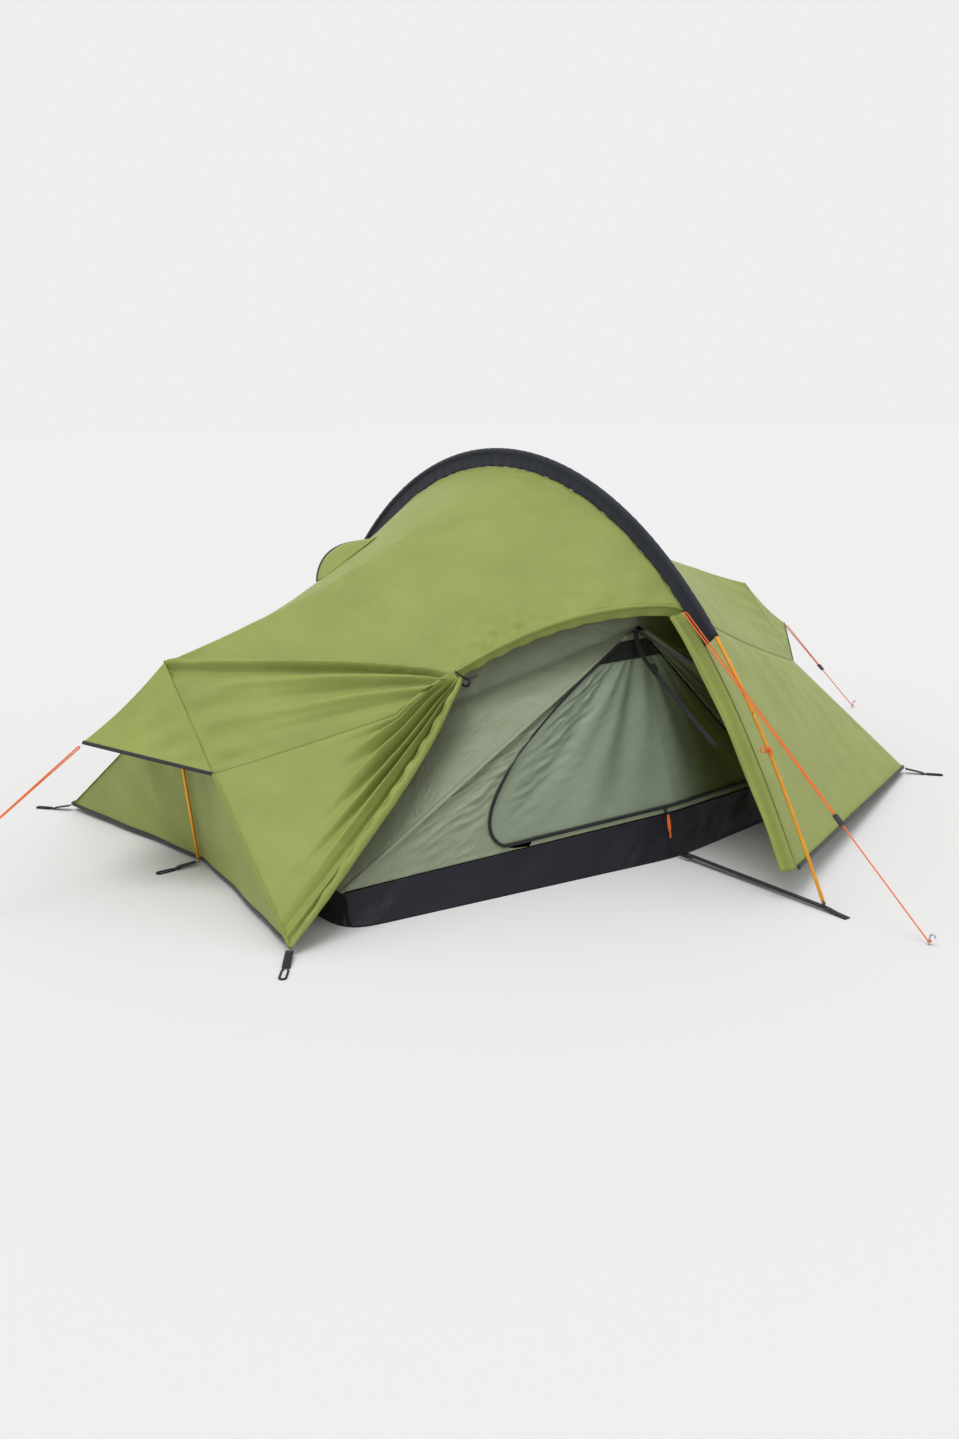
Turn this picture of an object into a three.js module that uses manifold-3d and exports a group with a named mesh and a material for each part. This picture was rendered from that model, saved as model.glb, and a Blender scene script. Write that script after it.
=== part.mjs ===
// A two-person hooped tent, pitched: one bent pole across the middle, a short upright pole at each end,
// a flysheet over them and an inner tent hung inside. Millimetres, +Z up. The origin is on the ground
// under the middle of the tent, +X runs along its length and -Y is the side with the open porch.
import * as THREE from "three";
import { mergeVertices } from "three/addons/utils/BufferGeometryUtils.js";
import Module from "manifold-3d";

const wasm = await Module();
wasm.setup();

// Driving dimensions.
const ARCH_HEIGHT = 1080; // top of the bent pole's centreline
const ARCH_HALF_SPAN = 1284; // from the tent's middle to each foot of the bent pole
const ARCH_FOOT_ANGLE = 1.095; // slope of the pole at its feet, in radians from the ground
const POLE_RADIUS = 4.75;
const POLE_BORE = 4;
const POLE_SECTIONS = 7;
const FERRULE_RADIUS = 3.5; // the narrow tube that plugs into the next section
const FERRULE_BORE = 2.5;
const FERRULE_REACH = 46; // how far it goes into the next section
const SHOCK_CORD_RADIUS = 1.25;
const ARCH_STEP_COUNT = 4; // straight facets along one section
const JOINT_GAP = 0.6; // between two sections of a pole
const TIP_SHOULDER = 22; // height of a pole's end fitting below its tube
const TIP_PIN_RADIUS = 2.5;

const CLOTH = 1.5; // thickness of every sheet of fabric
const SEAM = 3; // how far a panel stops short of its seam line
const SLEEVE_DEPTH = 45; // from the pole's centreline to the fly
const SLEEVE_END_Z = 631;
const SEAM_ARC = 869; // along the pole from its foot to the seam under the roof
const HEM_ARC = 116; // along the pole from its foot to the fly's hem
const RIDGE_SAG = 50;
const SEAM_SAG = 14;

const HEM_CORNER = { x: 1169, y: 689, z: 20 };
const HOOD_CORNER = { x: 1123, y: 241, z: 323 };
const HOOD_TIP = { x: 1362, z: 397 };
const PEAK = { x: 1126, z: 575 };
const END_FOOT_X = 1068;
const END_PANEL_SET_BACK = 14; // the end panels hang just behind the upright poles

const FLOOR_CORNER = { x: 998, y: 650 };
const FLOOR_SIDE_Y = 786; // the floor is widest at the middle of each side
const TUB_CORNER = { x: 975, y: 600, z: 76 };
const TUB_SIDE = { y: 768, z: 128 };
const INNER_APEX = { y: 604, z: 624 }; // where the inner hangs from the bent pole, on each side
const INNER_TOP_Z = 968;
const INNER_PEAK = { x: 1046, z: 484 };
const INNER_GABLE = { x: 1030, y: 205, z: 288 };
const DOOR_LEFT = -0.82; // the inner door's edges, as shares of the wall's half-width
const DOOR_RIGHT = 0.5;
const DOOR_SILL = 0.03; // heights on the wall, as shares of its slope
const DOOR_TOP = 0.93;
const MESH_FOOT = 0.83;

const TIE_POINT_SHARE = 0.47; // along the left seam from the bent pole to where the door is tied back
const DOOR_ARCH = 0.13; // how far the doorway's top edge rises above the seam, as a share of the roof
const DOOR_BUNDLE = 24; // thickness of the drawn-back door's gathered edge
const FLAP_WIDTH = 42; // of the storm flap beside the doorway

const CORD_RADIUS = 1.75;
const GUY_STRAND_GAP = 6; // half the distance between a guyline's two strands at the tent
const RUNNER_LENGTH = 32;
const PEG_RADIUS = 2.25;
const WEBBING_WIDTH = 20;
const WEBBING = 2;
const PEG_SLOT = { width: 9, length: 44 };

const LEFT = -1;
const RIGHT = 1;
const NEAR = -1;
const FAR = 1;

const LOOKS = {
  fly: [0x8f9f4a, 0.6, 0],
  sleeve: [0x262b36, 0.7, 0],
  alloy: [0xd8922f, 0.35, 0.6],
  plug: [0x303236, 0.5, 0],
  elastic: [0x2a2a2c, 0.8, 0],
  inner: [0x8b9a80, 0.7, 0],
  mesh: [0x1c1f1c, 0.9, 0],
  floor: [0x24262e, 0.5, 0],
  webbing: [0x2b2d30, 0.8, 0],
  cord: [0xe0602a, 0.7, 0],
  buckle: [0x1e1f21, 0.45, 0],
  peg: [0xb9bcc0, 0.35, 0.8],
};

const tent = new THREE.Group();

function point(x, y, z) {
  return new THREE.Vector3(x, y, z);
}

function mix(a, b, share) {
  return a.clone().lerp(b, share);
}

// ---- Solids ----

// Puts a named mesh in the tent.
function add(name, look, geometry) {
  const [color, roughness, metalness] = LOOKS[look];
  const mesh = new THREE.Mesh(
    geometry,
    new THREE.MeshStandardMaterial({ color, roughness, metalness }),
  );
  mesh.name = name;
  tent.add(mesh);
  return mesh;
}

function bare(geometry) {
  const copy = geometry.clone();
  copy.deleteAttribute("normal");
  copy.deleteAttribute("uv");
  return mergeVertices(copy, 1e-4);
}

function solidOf(geometry) {
  const merged = bare(geometry);
  const mesh = new wasm.Mesh({
    numProp: 3,
    vertProperties: merged.attributes.position.array,
    triVerts: new Uint32Array(merged.index.array),
  });
  return new wasm.Manifold(mesh);
}

function geometryOf(solid) {
  const { vertProperties, triVerts } = solid.getMesh();
  const geometry = new THREE.BufferGeometry();
  geometry.setAttribute("position", new THREE.BufferAttribute(vertProperties, 3));
  geometry.setIndex(new THREE.BufferAttribute(triVerts, 1));
  return geometry;
}

function join(...geometries) {
  return geometryOf(geometries.map(solidOf).reduce((sum, next) => sum.add(next)));
}

function cut(geometry, ...tools) {
  return geometryOf(
    tools.map(solidOf).reduce((rest, tool) => rest.subtract(tool), solidOf(geometry)),
  );
}

function volumeOf(points, faces) {
  return faces.reduce((sum, [a, b, c]) => {
    const cross = points[b].clone().cross(points[c]);
    return sum + points[a].dot(cross) / 6;
  }, 0);
}

// Turns an open surface of points and triangles into a closed sheet of cloth: the given surface is its
// outer face, and the inner one lies `thickness` nearer to `inside`.
function thicken(points, faces, inside, thickness) {
  const normals = points.map(() => new THREE.Vector3());
  const edges = new Map();
  for (const [a, b, c] of faces) {
    const normal = points[b].clone().sub(points[a]).cross(points[c].clone().sub(points[a]));
    [a, b, c].forEach((i) => normals[i].add(normal));
    [[a, b], [b, c], [c, a]].forEach(([i, j]) => edges.set(`${i},${j}`, [i, j]));
  }
  const middle = points.reduce((sum, p) => sum.add(p), new THREE.Vector3());
  middle.divideScalar(points.length);
  const total = normals.reduce((sum, n) => sum.add(n), new THREE.Vector3());
  const inwards = Math.sign(total.dot(inside.clone().sub(middle))) || 1;
  const depth = typeof thickness === "function" ? thickness : () => thickness;
  const backs = points.map((p, i) =>
    p.clone().addScaledVector(normals[i].normalize(), inwards * depth(i)),
  );
  const count = points.length;
  const all = [...points, ...backs];
  const shell = faces.map((face) => [...face]);
  faces.forEach(([a, b, c]) => shell.push([a + count, c + count, b + count]));
  for (const [i, j] of edges.values()) {
    if (edges.has(`${j},${i}`)) continue;
    shell.push([j, i, i + count], [j, i + count, j + count]);
  }
  if (volumeOf(all, shell) < 0) shell.forEach((face) => face.reverse());
  const geometry = new THREE.BufferGeometry();
  geometry.setFromPoints(all);
  geometry.setIndex(shell.flat());
  return geometry;
}

// A sheet from surface(u, v), with u and v from 0 to 1. keep(u, v) may leave cells out.
function panel(surface, columns, rows, inside, thickness = CLOTH, keep = () => true) {
  const points = [];
  const faces = [];
  for (let i = 0; i <= columns; i += 1) {
    for (let j = 0; j <= rows; j += 1) points.push(surface(i / columns, j / rows));
  }
  for (let i = 0; i < columns; i += 1) {
    for (let j = 0; j < rows; j += 1) {
      if (!keep((i + 0.5) / columns, (j + 0.5) / rows)) continue;
      const a = i * (rows + 1) + j;
      const b = a + rows + 1;
      faces.push([a, b, b + 1], [a, b + 1, a + 1]);
    }
  }
  const used = [...new Set(faces.flat())].sort((a, b) => a - b);
  const place = new Map(used.map((old, now) => [old, now]));
  const keptFaces = faces.map((face) => face.map((old) => place.get(old)));
  const depth = typeof thickness === "function" ? (i) => thickness(used[i], rows) : thickness;
  return thicken(used.map((old) => points[old]), keptFaces, inside, depth);
}

function ring(radius, sides) {
  return Array.from({ length: sides }, (_, i) => {
    const angle = (2 * Math.PI * i) / sides;
    return new THREE.Vector2(radius * Math.cos(angle), radius * Math.sin(angle));
  });
}

// A rod along a smooth curve through the points, with an optional bore.
function rod(points, radius, sides = 8, bore = 0) {
  const shape = new THREE.Shape(ring(radius, sides));
  if (bore > 0) shape.holes.push(new THREE.Path(ring(bore, sides)));
  const extrudePath = new THREE.CatmullRomCurve3(points);
  return new THREE.ExtrudeGeometry(shape, { steps: points.length - 1, extrudePath });
}

// Flat webbing along a curve that stays in a plane of constant x.
function strap(points, width = WEBBING_WIDTH, thickness = WEBBING) {
  const [w, t] = [width / 2, thickness / 2];
  const corners = [[-w, -t], [w, -t], [w, t], [-w, t]];
  const shape = new THREE.Shape(corners.map(([x, y]) => new THREE.Vector2(x, y)));
  const extrudePath = new THREE.CatmullRomCurve3(points);
  return new THREE.ExtrudeGeometry(shape, { steps: points.length - 1, extrudePath });
}

// A turned piece whose own axis runs from `start` towards `end`.
function turned(profile, start, end, sides = 12) {
  const outline = profile.map(([radius, height]) => new THREE.Vector2(radius, height));
  const geometry = new THREE.LatheGeometry(outline, sides);
  const direction = end.clone().sub(start).normalize();
  const turn = new THREE.Quaternion().setFromUnitVectors(point(0, 1, 0), direction);
  geometry.applyQuaternion(turn);
  geometry.translate(start.x, start.y, start.z);
  return geometry;
}

// ---- The bent pole ----

// A springy pole held bent by its two feet takes the curve called elastica, whose curvature grows in
// proportion to its height. It is sampled here from the near foot to the far one.
const arch = (() => {
  const samples = 2000;
  const footCosine = Math.cos(ARCH_FOOT_ANGLE);
  const bend = (2 * (1 - footCosine)) / ARCH_HEIGHT ** 2;
  const line = [{ y: 0, z: 0 }];
  for (let i = 0; i < samples; i += 1) {
    const turn = (Math.PI / 2) * (((i + 0.5) / samples) * 2 - 1);
    const slope = ARCH_FOOT_ANGLE * Math.sin(turn);
    const slopeStep = (ARCH_FOOT_ANGLE * Math.cos(turn) * Math.PI) / samples;
    const height = Math.sqrt((2 * (Math.cos(slope) - footCosine)) / bend);
    const length = slopeStep / (bend * height);
    const last = line[i];
    line.push({ y: last.y + Math.cos(slope) * length, z: last.z - Math.sin(slope) * length });
  }
  const span = line[samples].y;
  line.forEach((p) => {
    p.y = (p.y / span - 0.5) * 2 * ARCH_HALF_SPAN;
  });
  line.forEach((p, i) => {
    p.s = i ? line[i - 1].s + Math.hypot(p.y - line[i - 1].y, p.z - line[i - 1].z) : 0;
  });
  return line;
})();
const ARCH_LENGTH = arch[arch.length - 1].s;

// The point `along` the pole from its near foot, moved `inset` towards the inside of the bend.
function archPoint(along, inset = 0) {
  let i = arch.findIndex((p) => p.s > along);
  if (i < 1) i = i < 0 ? arch.length - 1 : 1;
  const [a, b] = [arch[i - 1], arch[i]];
  const share = (along - a.s) / (b.s - a.s);
  const length = Math.hypot(b.y - a.y, b.z - a.z);
  const [dy, dz] = [(b.y - a.y) / length, (b.z - a.z) / length];
  const y = a.y + (b.y - a.y) * share;
  const z = a.z + (b.z - a.z) * share;
  return point(0, y + dz * inset, z - dy * inset);
}

function archRun(from, to, steps) {
  const step = (to - from) / steps;
  return Array.from({ length: steps + 1 }, (_, i) => archPoint(from + step * i));
}

const SLEEVE_ARC = arch.find((p) => p.z > SLEEVE_END_Z).s;

// Each section is a tube with a narrower one, the ferrule, seated in its far end.
function makeArchPole() {
  const facets = POLE_SECTIONS * ARCH_STEP_COUNT;
  const facetLength = (ARCH_LENGTH - 2 * TIP_SHOULDER) / facets;
  const bends = archRun(TIP_SHOULDER, ARCH_LENGTH - TIP_SHOULDER, facets);
  const reach = FERRULE_REACH / facetLength;
  const seatRadius = POLE_BORE + 0.3; // just into the tube's wall, so that the two are one
  for (let i = 0; i < POLE_SECTIONS; i += 1) {
    const start = i * ARCH_STEP_COUNT;
    const end = start + ARCH_STEP_COUNT;
    const run = bends.slice(start, end + 1);
    run[0] = mix(bends[start], bends[start + 1], JOINT_GAP / facetLength);
    const pieces = [rod(run, POLE_RADIUS, 8, POLE_BORE)];
    if (i < POLE_SECTIONS - 1) {
      const back = mix(bends[end], bends[end - 1], reach);
      const front = mix(bends[end], bends[end + 1], reach);
      const seatEnd = mix(bends[end], bends[end - 1], 0.02);
      pieces.push(rod([back, seatEnd], seatRadius, 8, FERRULE_BORE));
      pieces.push(rod([back, bends[end], front], FERRULE_RADIUS, 8, FERRULE_BORE));
    }
    add(`arch_pole_section_${i + 1}`, "alloy", join(...pieces));
  }
  const cordStart = TIP_SHOULDER + 34;
  const cord = [archPoint(cordStart), ...bends.slice(1, -1), archPoint(ARCH_LENGTH - cordStart)];
  add("arch_shock_cord", "elastic", rod(cord, SHOCK_CORD_RADIUS, 6));
  const pinStart = 3; // the pin stops this far short of the pole's nominal end
  const shoulder = TIP_SHOULDER - pinStart - JOINT_GAP;
  const plugEnd = TIP_SHOULDER + 26;
  const tip = [
    [0, 0],
    [TIP_PIN_RADIUS, 0],
    [TIP_PIN_RADIUS, shoulder - 4.4],
    [POLE_RADIUS, shoulder - 3.4],
    [POLE_RADIUS, shoulder],
    [FERRULE_RADIUS, shoulder + 0.2],
    [FERRULE_RADIUS, plugEnd],
    [0, plugEnd],
  ];
  for (const [name, from, to] of [
    ["near", pinStart, 60],
    ["far", ARCH_LENGTH - pinStart, ARCH_LENGTH - 60],
  ]) {
    add(`arch_pole_tip_${name}`, "plug", turned(tip, archPoint(from), archPoint(to)));
  }
}

// The sleeve: a round channel for the pole, with a flat fin down to the fly.
function makeSleeve() {
  const outer = 9;
  const bore = 7.6;
  const fin = 1.5;
  const sides = 12;
  const shape = new THREE.Shape();
  const start = -Math.PI / 2 + Math.asin(fin / outer);
  for (let i = 0; i <= sides; i += 1) {
    const angle = start + ((2 * Math.PI - 2 * Math.asin(fin / outer)) * i) / sides;
    const corner = [outer * Math.cos(angle), outer * Math.sin(angle)];
    if (i) shape.lineTo(...corner);
    else shape.moveTo(...corner);
  }
  shape.lineTo(-fin, 1 - SLEEVE_DEPTH);
  shape.lineTo(fin, 1 - SLEEVE_DEPTH);
  shape.holes.push(new THREE.Path(ring(bore, 10)));
  const steps = 26;
  const run = archRun(SLEEVE_ARC, ARCH_LENGTH - SLEEVE_ARC, steps);
  const extrudePath = new THREE.CatmullRomCurve3(run);
  add("pole_sleeve", "sleeve", new THREE.ExtrudeGeometry(shape, { steps, extrudePath }));
}

// ---- The upright poles ----

function makeEndPole(side, name) {
  const foot = point(side * END_FOOT_X, 0, 3);
  const top = point(side * PEAK.x, 0, PEAK.z - 12);
  const length = foot.distanceTo(top);
  const split = length / 2;
  const plugFloor = 60; // the lower tube is closed below this
  const capFloor = length - 14; // and the upper one above this
  const lower = [
    [0, 0],
    [TIP_PIN_RADIUS, 0],
    [TIP_PIN_RADIUS, TIP_SHOULDER - 8],
    [POLE_RADIUS, TIP_SHOULDER - 7],
    [POLE_RADIUS, split],
    [POLE_BORE, split],
    [POLE_BORE, plugFloor],
    [0, plugFloor],
  ];
  add(`end_pole_lower_${name}`, "alloy", turned(lower, foot, top));
  const upper = [
    [0, capFloor],
    [FERRULE_BORE, capFloor],
    [FERRULE_BORE, split - FERRULE_REACH],
    [FERRULE_RADIUS, split - FERRULE_REACH],
    [FERRULE_RADIUS, split + JOINT_GAP],
    [POLE_RADIUS, split + JOINT_GAP],
    [POLE_RADIUS, length - 3],
    [POLE_RADIUS - 2, length],
    [0, length],
  ];
  add(`end_pole_upper_${name}`, "alloy", turned(upper, foot, top));
}

// ---- The flysheet ----

const INSIDE = point(0, 0, 250);

function corner(at, side, across) {
  return point(side * at.x, across * (at.y ?? 0), at.z);
}

// The roof, from the bent pole (t = 0) to the end peak (t = 1), and from the near seam (s = -1) over the
// ridge (s = 0) to the far seam (s = 1).
function roofPoint(side, s, t) {
  const across = s < 0 ? NEAR : FAR;
  const start = archPoint(ARCH_LENGTH / 2 + s * (ARCH_LENGTH / 2 - SEAM_ARC), SLEEVE_DEPTH);
  const end = mix(corner(PEAK, side, across), corner(HOOD_CORNER, side, across), Math.abs(s));
  const sag = RIDGE_SAG + (SEAM_SAG - RIDGE_SAG) * Math.abs(s);
  const p = mix(start, end, t);
  p.z -= 4 * sag * t * (1 - t);
  return p;
}

// A wall below the seam, from the bent pole (t = 0) to the corner seam (t = 1), down from v = 0 to v = 1.
function wallPoint(side, across, v, t) {
  const start = archPoint(SEAM_ARC + (HEM_ARC - SEAM_ARC) * v, SLEEVE_DEPTH);
  start.y *= -across;
  const end = mix(corner(HOOD_CORNER, side, across), corner(HEM_CORNER, side, across), v);
  const p = mix(start, end, t);
  p.z -= 4 * SEAM_SAG * t * (1 - t) * (1 - v);
  return p;
}

// A share from 0 to 1 that stops `from` and `to` millimetres short of the ends of a given length.
function within(share, length, from = SEAM, to = SEAM) {
  return (from + share * (length - from - to)) / length;
}

function doorArch(t) {
  const reach = 0.62;
  return t < reach ? DOOR_ARCH * Math.sin((Math.PI * t) / reach) ** 0.7 : 0;
}

function makeRoof(side, name) {
  const margin = 0.004; // the seam gap, as a share of the roof's half-width
  const surface = (u, v) => {
    const t = within(v, PEAK.x);
    const edge = side === LEFT ? -1 + doorArch(t) : -1;
    return roofPoint(side, edge + margin + (1 - edge - 2 * margin) * u, t);
  };
  add(`fly_roof_${name}`, "fly", panel(surface, 16, 9, INSIDE));
}

const WALL_DEPTH = SEAM_ARC - HEM_ARC; // down the slope of a wall, beside the bent pole

function makeWall(side, across, name) {
  const surface = (u, v) => wallPoint(side, across, within(v, WALL_DEPTH), within(u, HEM_CORNER.x));
  add(`fly_wall_${name}`, "fly", panel(surface, 8, 4, INSIDE));
}

// The near left wall is the door. It is drawn back and tied at the seam, so that it fans out from
// there to the corner seam, and its free edge is a thick bundle of folds.
function makeDoor() {
  const tie = roofPoint(LEFT, -1 + doorArch(TIE_POINT_SHARE) - 0.03, TIE_POINT_SHARE);
  const seamTop = corner(HOOD_CORNER, LEFT, NEAR);
  const foot = corner(HEM_CORNER, LEFT, NEAR);
  const bulge = point(30, -22, 0); // how far the free edge bows out between its ends
  const columns = 8;
  const rows = 6;
  const doorWidth = (1 - TIE_POINT_SHARE) * HOOD_CORNER.x;
  const lap = 0.03; // how far the door hangs below the doorway's top edge, as a share of the roof
  const surface = (u, v) => {
    const across = within(u, doorWidth, SEAM, 0);
    const down = 0.01 + 0.972 * v;
    const free = mix(tie, foot, down).addScaledVector(bulge, Math.sin(Math.PI * down ** 0.7));
    const seam = mix(seamTop, foot, down);
    const t = 1 + (TIE_POINT_SHARE - 1) * across;
    const top = roofPoint(LEFT, -1 + doorArch(t) - lap * across, t);
    const lift = top.sub(mix(seamTop, tie, across)).multiplyScalar(1 - down);
    return mix(seam, free, across).add(lift).add(point(0, 0, -2));
  };
  const depth = (index) => {
    const across = Math.floor(index / (rows + 1)) / columns;
    return CLOTH + DOOR_BUNDLE * across ** 4;
  };
  add("fly_door", "fly", panel(surface, columns, rows, INSIDE, depth));
}

// The flap over the door's zip hangs from the bent pole's sleeve down to the hem.
function makeStormFlap() {
  const poleEdge = 2.6;
  const topGap = 8;
  const surface = (u, v) => {
    const out = within(u, HEM_CORNER.x, poleEdge, HEM_CORNER.x - FLAP_WIDTH);
    return wallPoint(LEFT, NEAR, within(v, WALL_DEPTH, topGap, 0), out);
  };
  add("fly_storm_flap", "fly", panel(surface, 2, 8, INSIDE));
}

// Behind each upright pole two panels meet in a shallow V, from the corner seams to the foot of the pole.
function makeEnd(side, name) {
  const foot = point(side * (END_FOOT_X - END_PANEL_SET_BACK), 0, 8);
  const top = point(side * (PEAK.x - END_PANEL_SET_BACK), 0, PEAK.z - 26);
  const topTrim = 0.07; // the panels stop this share of their height below the peak
  const shoulderDown = 0.42; // the share of the height at which the seam turns at the hood's corner
  const surface = (u, v) => {
    const across = u < 0.5 ? NEAR : FAR;
    const share = Math.abs(2 * u - 1);
    const down = topTrim + (1 - topTrim) * v;
    const pole = mix(foot, top, 1 - down);
    const high = corner(PEAK, side, across);
    const shoulder = corner(HOOD_CORNER, side, across);
    const low = corner(HEM_CORNER, side, across);
    const seam = down < shoulderDown
      ? mix(high, shoulder, down / shoulderDown)
      : mix(shoulder, low, (down - shoulderDown) / (1 - shoulderDown));
    const inset = point(-side * 6, 0, -8 * (1 - down) - 2);
    return mix(pole, seam.add(inset), share * 0.985);
  };
  add(`fly_end_${name}`, "fly", panel(surface, 8, 7, INSIDE));
}

// The hood juts out over the end's vent, from the peak to a guyed tip.
function makeHood(side, name) {
  const reach = HOOD_TIP.x - PEAK.x;
  const surface = (u, v) => {
    const across = u < 0.5 ? NEAR : FAR;
    const share = Math.abs(2 * u - 1);
    const inner = mix(corner(PEAK, side, across), corner(HOOD_CORNER, side, across), share);
    const tip = corner(HOOD_TIP, side, across);
    const outer = mix(tip, corner(HOOD_CORNER, side, across), share * 0.99);
    const out = within(v, reach, SEAM, 0);
    const p = mix(inner, outer, out);
    p.x += side * SEAM;
    p.z += 1;
    return p;
  };
  add(`fly_hood_${name}`, "fly", panel(surface, 8, 4, point(0, 0, -2000)));
}

// A small hooped cowl stands over a vent in the far left roof.
function makeCowl() {
  const middle = { s: 0.46, t: 0.37 };
  const [alongRoof, upRoof] = [0.095, 0.13];
  const rise = 46;
  const surface = (u, v) => {
    const span = 2 * u - 1;
    const t = middle.t + alongRoof * span;
    const s = middle.s - upRoof + upRoof * v * Math.sqrt(1 - 0.6 * span * span);
    const p = roofPoint(LEFT, s, t);
    const hoop = (1 - span * span) * Math.sin((Math.PI / 2) * Math.min(1, v * 1.15));
    return p.add(point(-0.28, 0.42, 0.86).multiplyScalar(3.4 + rise * hoop));
  };
  add("vent_cowl", "fly", panel(surface, 8, 4, INSIDE));
}

// ---- The inner tent ----

// A tray of tough cloth, widest at the middle of each long side, with its sides sloping in.
// The tray is an outer block less an inner one. Each runs from the floor's outline up to the rim's.
function makeGroundsheet() {
  const block = (inset, lift, rise) => {
    const corners = [];
    for (const [x, y] of [[-1, -1], [0, -1], [1, -1], [1, 1], [0, 1], [-1, 1]]) {
      const low = x ? FLOOR_CORNER : { x: 0, y: FLOOR_SIDE_Y };
      const high = x ? TUB_CORNER : { x: 0, ...TUB_SIDE };
      const foot = point(x * (low.x - inset), y * (low.y - inset), lift);
      const rim = point(x * (high.x - inset), y * (high.y - inset), high.z);
      corners.push(foot, mix(foot, rim, rise));
    }
    return wasm.Manifold.hull(corners.map((p) => p.toArray()));
  };
  const tray = block(0, 0, 1).subtract(block(WEBBING, WEBBING, 1.1));
  add("groundsheet", "floor", geometryOf(tray));
}

function rimPoint(across, share) {
  const side = Math.sign(share) || 1;
  const middle = point(0, across * TUB_SIDE.y, TUB_SIDE.z);
  return mix(middle, corner(TUB_CORNER, side, across), Math.abs(share));
}

// A long wall of the inner: share runs from -1 to 1 along the floor, rise from the floor to the apex.
function innerWallPoint(across, share, rise) {
  const p = mix(rimPoint(across, share), corner(INNER_APEX, LEFT, across).setX(0), rise);
  p.z += 3 * (1 - rise);
  return p;
}

// The columns and rows of the near wall fall where its doorway has straight edges.
function makeInnerWalls() {
  const stops = [-0.985, DOOR_LEFT, -0.41, 0, 0.25, DOOR_RIGHT, 0.74, 0.985];
  const doorColumns = [1, 4];
  const heights = [0, DOOR_SILL, 0.35, 0.68, DOOR_TOP, 0.95];
  const at = (list, u) => list[Math.round(u * (list.length - 1))];
  const columns = stops.length - 1;
  const rows = heights.length - 1;
  const inside = point(0, 0, 300);
  for (const [name, across, hasDoor] of [
    ["near", NEAR, true],
    ["far", FAR, false],
  ]) {
    const surface = (u, v) => innerWallPoint(across, at(stops, u), at(heights, v));
    const keep = (u, v) => {
      const column = Math.floor(u * columns);
      const beside = column < doorColumns[0] || column > doorColumns[1];
      return !hasDoor || beside || v < 1 / rows || v > 1 - 1 / rows;
    };
    add(`inner_wall_${name}`, "inner", panel(surface, columns, rows, inside, CLOTH, keep));
  }
}

// The door fills the doorway up to a triangle of mesh at its top, which opens with it.
function makeInnerDoor() {
  const inside = point(0, 0, 300);
  const gap = 0.005; // above, below and between the two pieces, as a share of the wall's slope
  const sideGap = 3.2;
  const piece = (low, high) => (u, v) => {
    const rise = low + (high - low) * v;
    const margin = sideGap / (TUB_CORNER.x * (1 - rise));
    const [left, right] = [DOOR_LEFT + margin, DOOR_RIGHT - margin];
    const share = u < 0.5 ? left * (1 - 2 * u) : right * (2 * u - 1);
    return innerWallPoint(NEAR, share, rise);
  };
  add("inner_door", "inner", panel(piece(DOOR_SILL + gap, MESH_FOOT - gap), 4, 4, inside));
  add("inner_door_mesh", "mesh", panel(piece(MESH_FOOT + gap, DOOR_TOP - gap), 2, 2, inside));
}

// The inner's roof and gables in one skin. u runs from the left gable to the right one, and v from the
// near floor corners up the gables' edges, over their peaks at 0.5 and down to the far floor corners.
function makeInnerRoof() {
  const gableShare = 0.3; // of the way up, from the floor corner to the gable's shoulder
  const sag = 26;
  const apexGap = 7; // between the skin's edge and the walls, where all of them meet
  const fanGap = 0.0015; // keeps the rows that fan out from one apex apart
  const [acrossTurn, upTurn] = [0.46 * Math.PI, 0.4 * Math.PI]; // how round the skin is over the top
  const arcAt = (s) => {
    const y = (INNER_APEX.y * Math.sin(s * acrossTurn)) / Math.sin(acrossTurn);
    const drop = (1 - Math.cos(s * upTurn)) / (1 - Math.cos(upTurn));
    return point(0, y, INNER_TOP_Z - (INNER_TOP_Z - INNER_APEX.z) * drop);
  };
  const gableEdge = (side, across, up) => {
    const low = corner(TUB_CORNER, side, across).add(point(0, 0, 4));
    const shoulder = corner(INNER_GABLE, side, across);
    if (up < gableShare) return mix(low, shoulder, up / gableShare);
    return mix(shoulder, corner(INNER_PEAK, side, across), (up - gableShare) / (1 - gableShare));
  };
  const middleEdge = (across, up) => {
    const share = up < gableShare ? 1 : (1 - up) / (1 - gableShare);
    const p = arcAt(across * share);
    p.y += across * 2 * Math.max(0, 1 - up / gableShare);
    return p;
  };
  const surface = (u, v) => {
    const side = u < 0.5 ? LEFT : RIGHT;
    const across = v < 0.5 ? NEAR : FAR;
    const out = Math.abs(2 * u - 1);
    const edge = Math.min(v, 1 - v);
    const up = 0.008 + 1.984 * edge;
    const share = fanGap + (1 - fanGap) * out;
    const p = mix(middleEdge(across, up), gableEdge(side, across, up), share);
    p.z -= 4 * sag * out * (1 - out) * Math.min(1, 4 * edge);
    if (edge === 0) p.z += apexGap * (1 - out) ** 2;
    return p;
  };
  add("inner_roof", "inner", panel(surface, 14, 16, point(0, 0, 200)));
}

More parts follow.
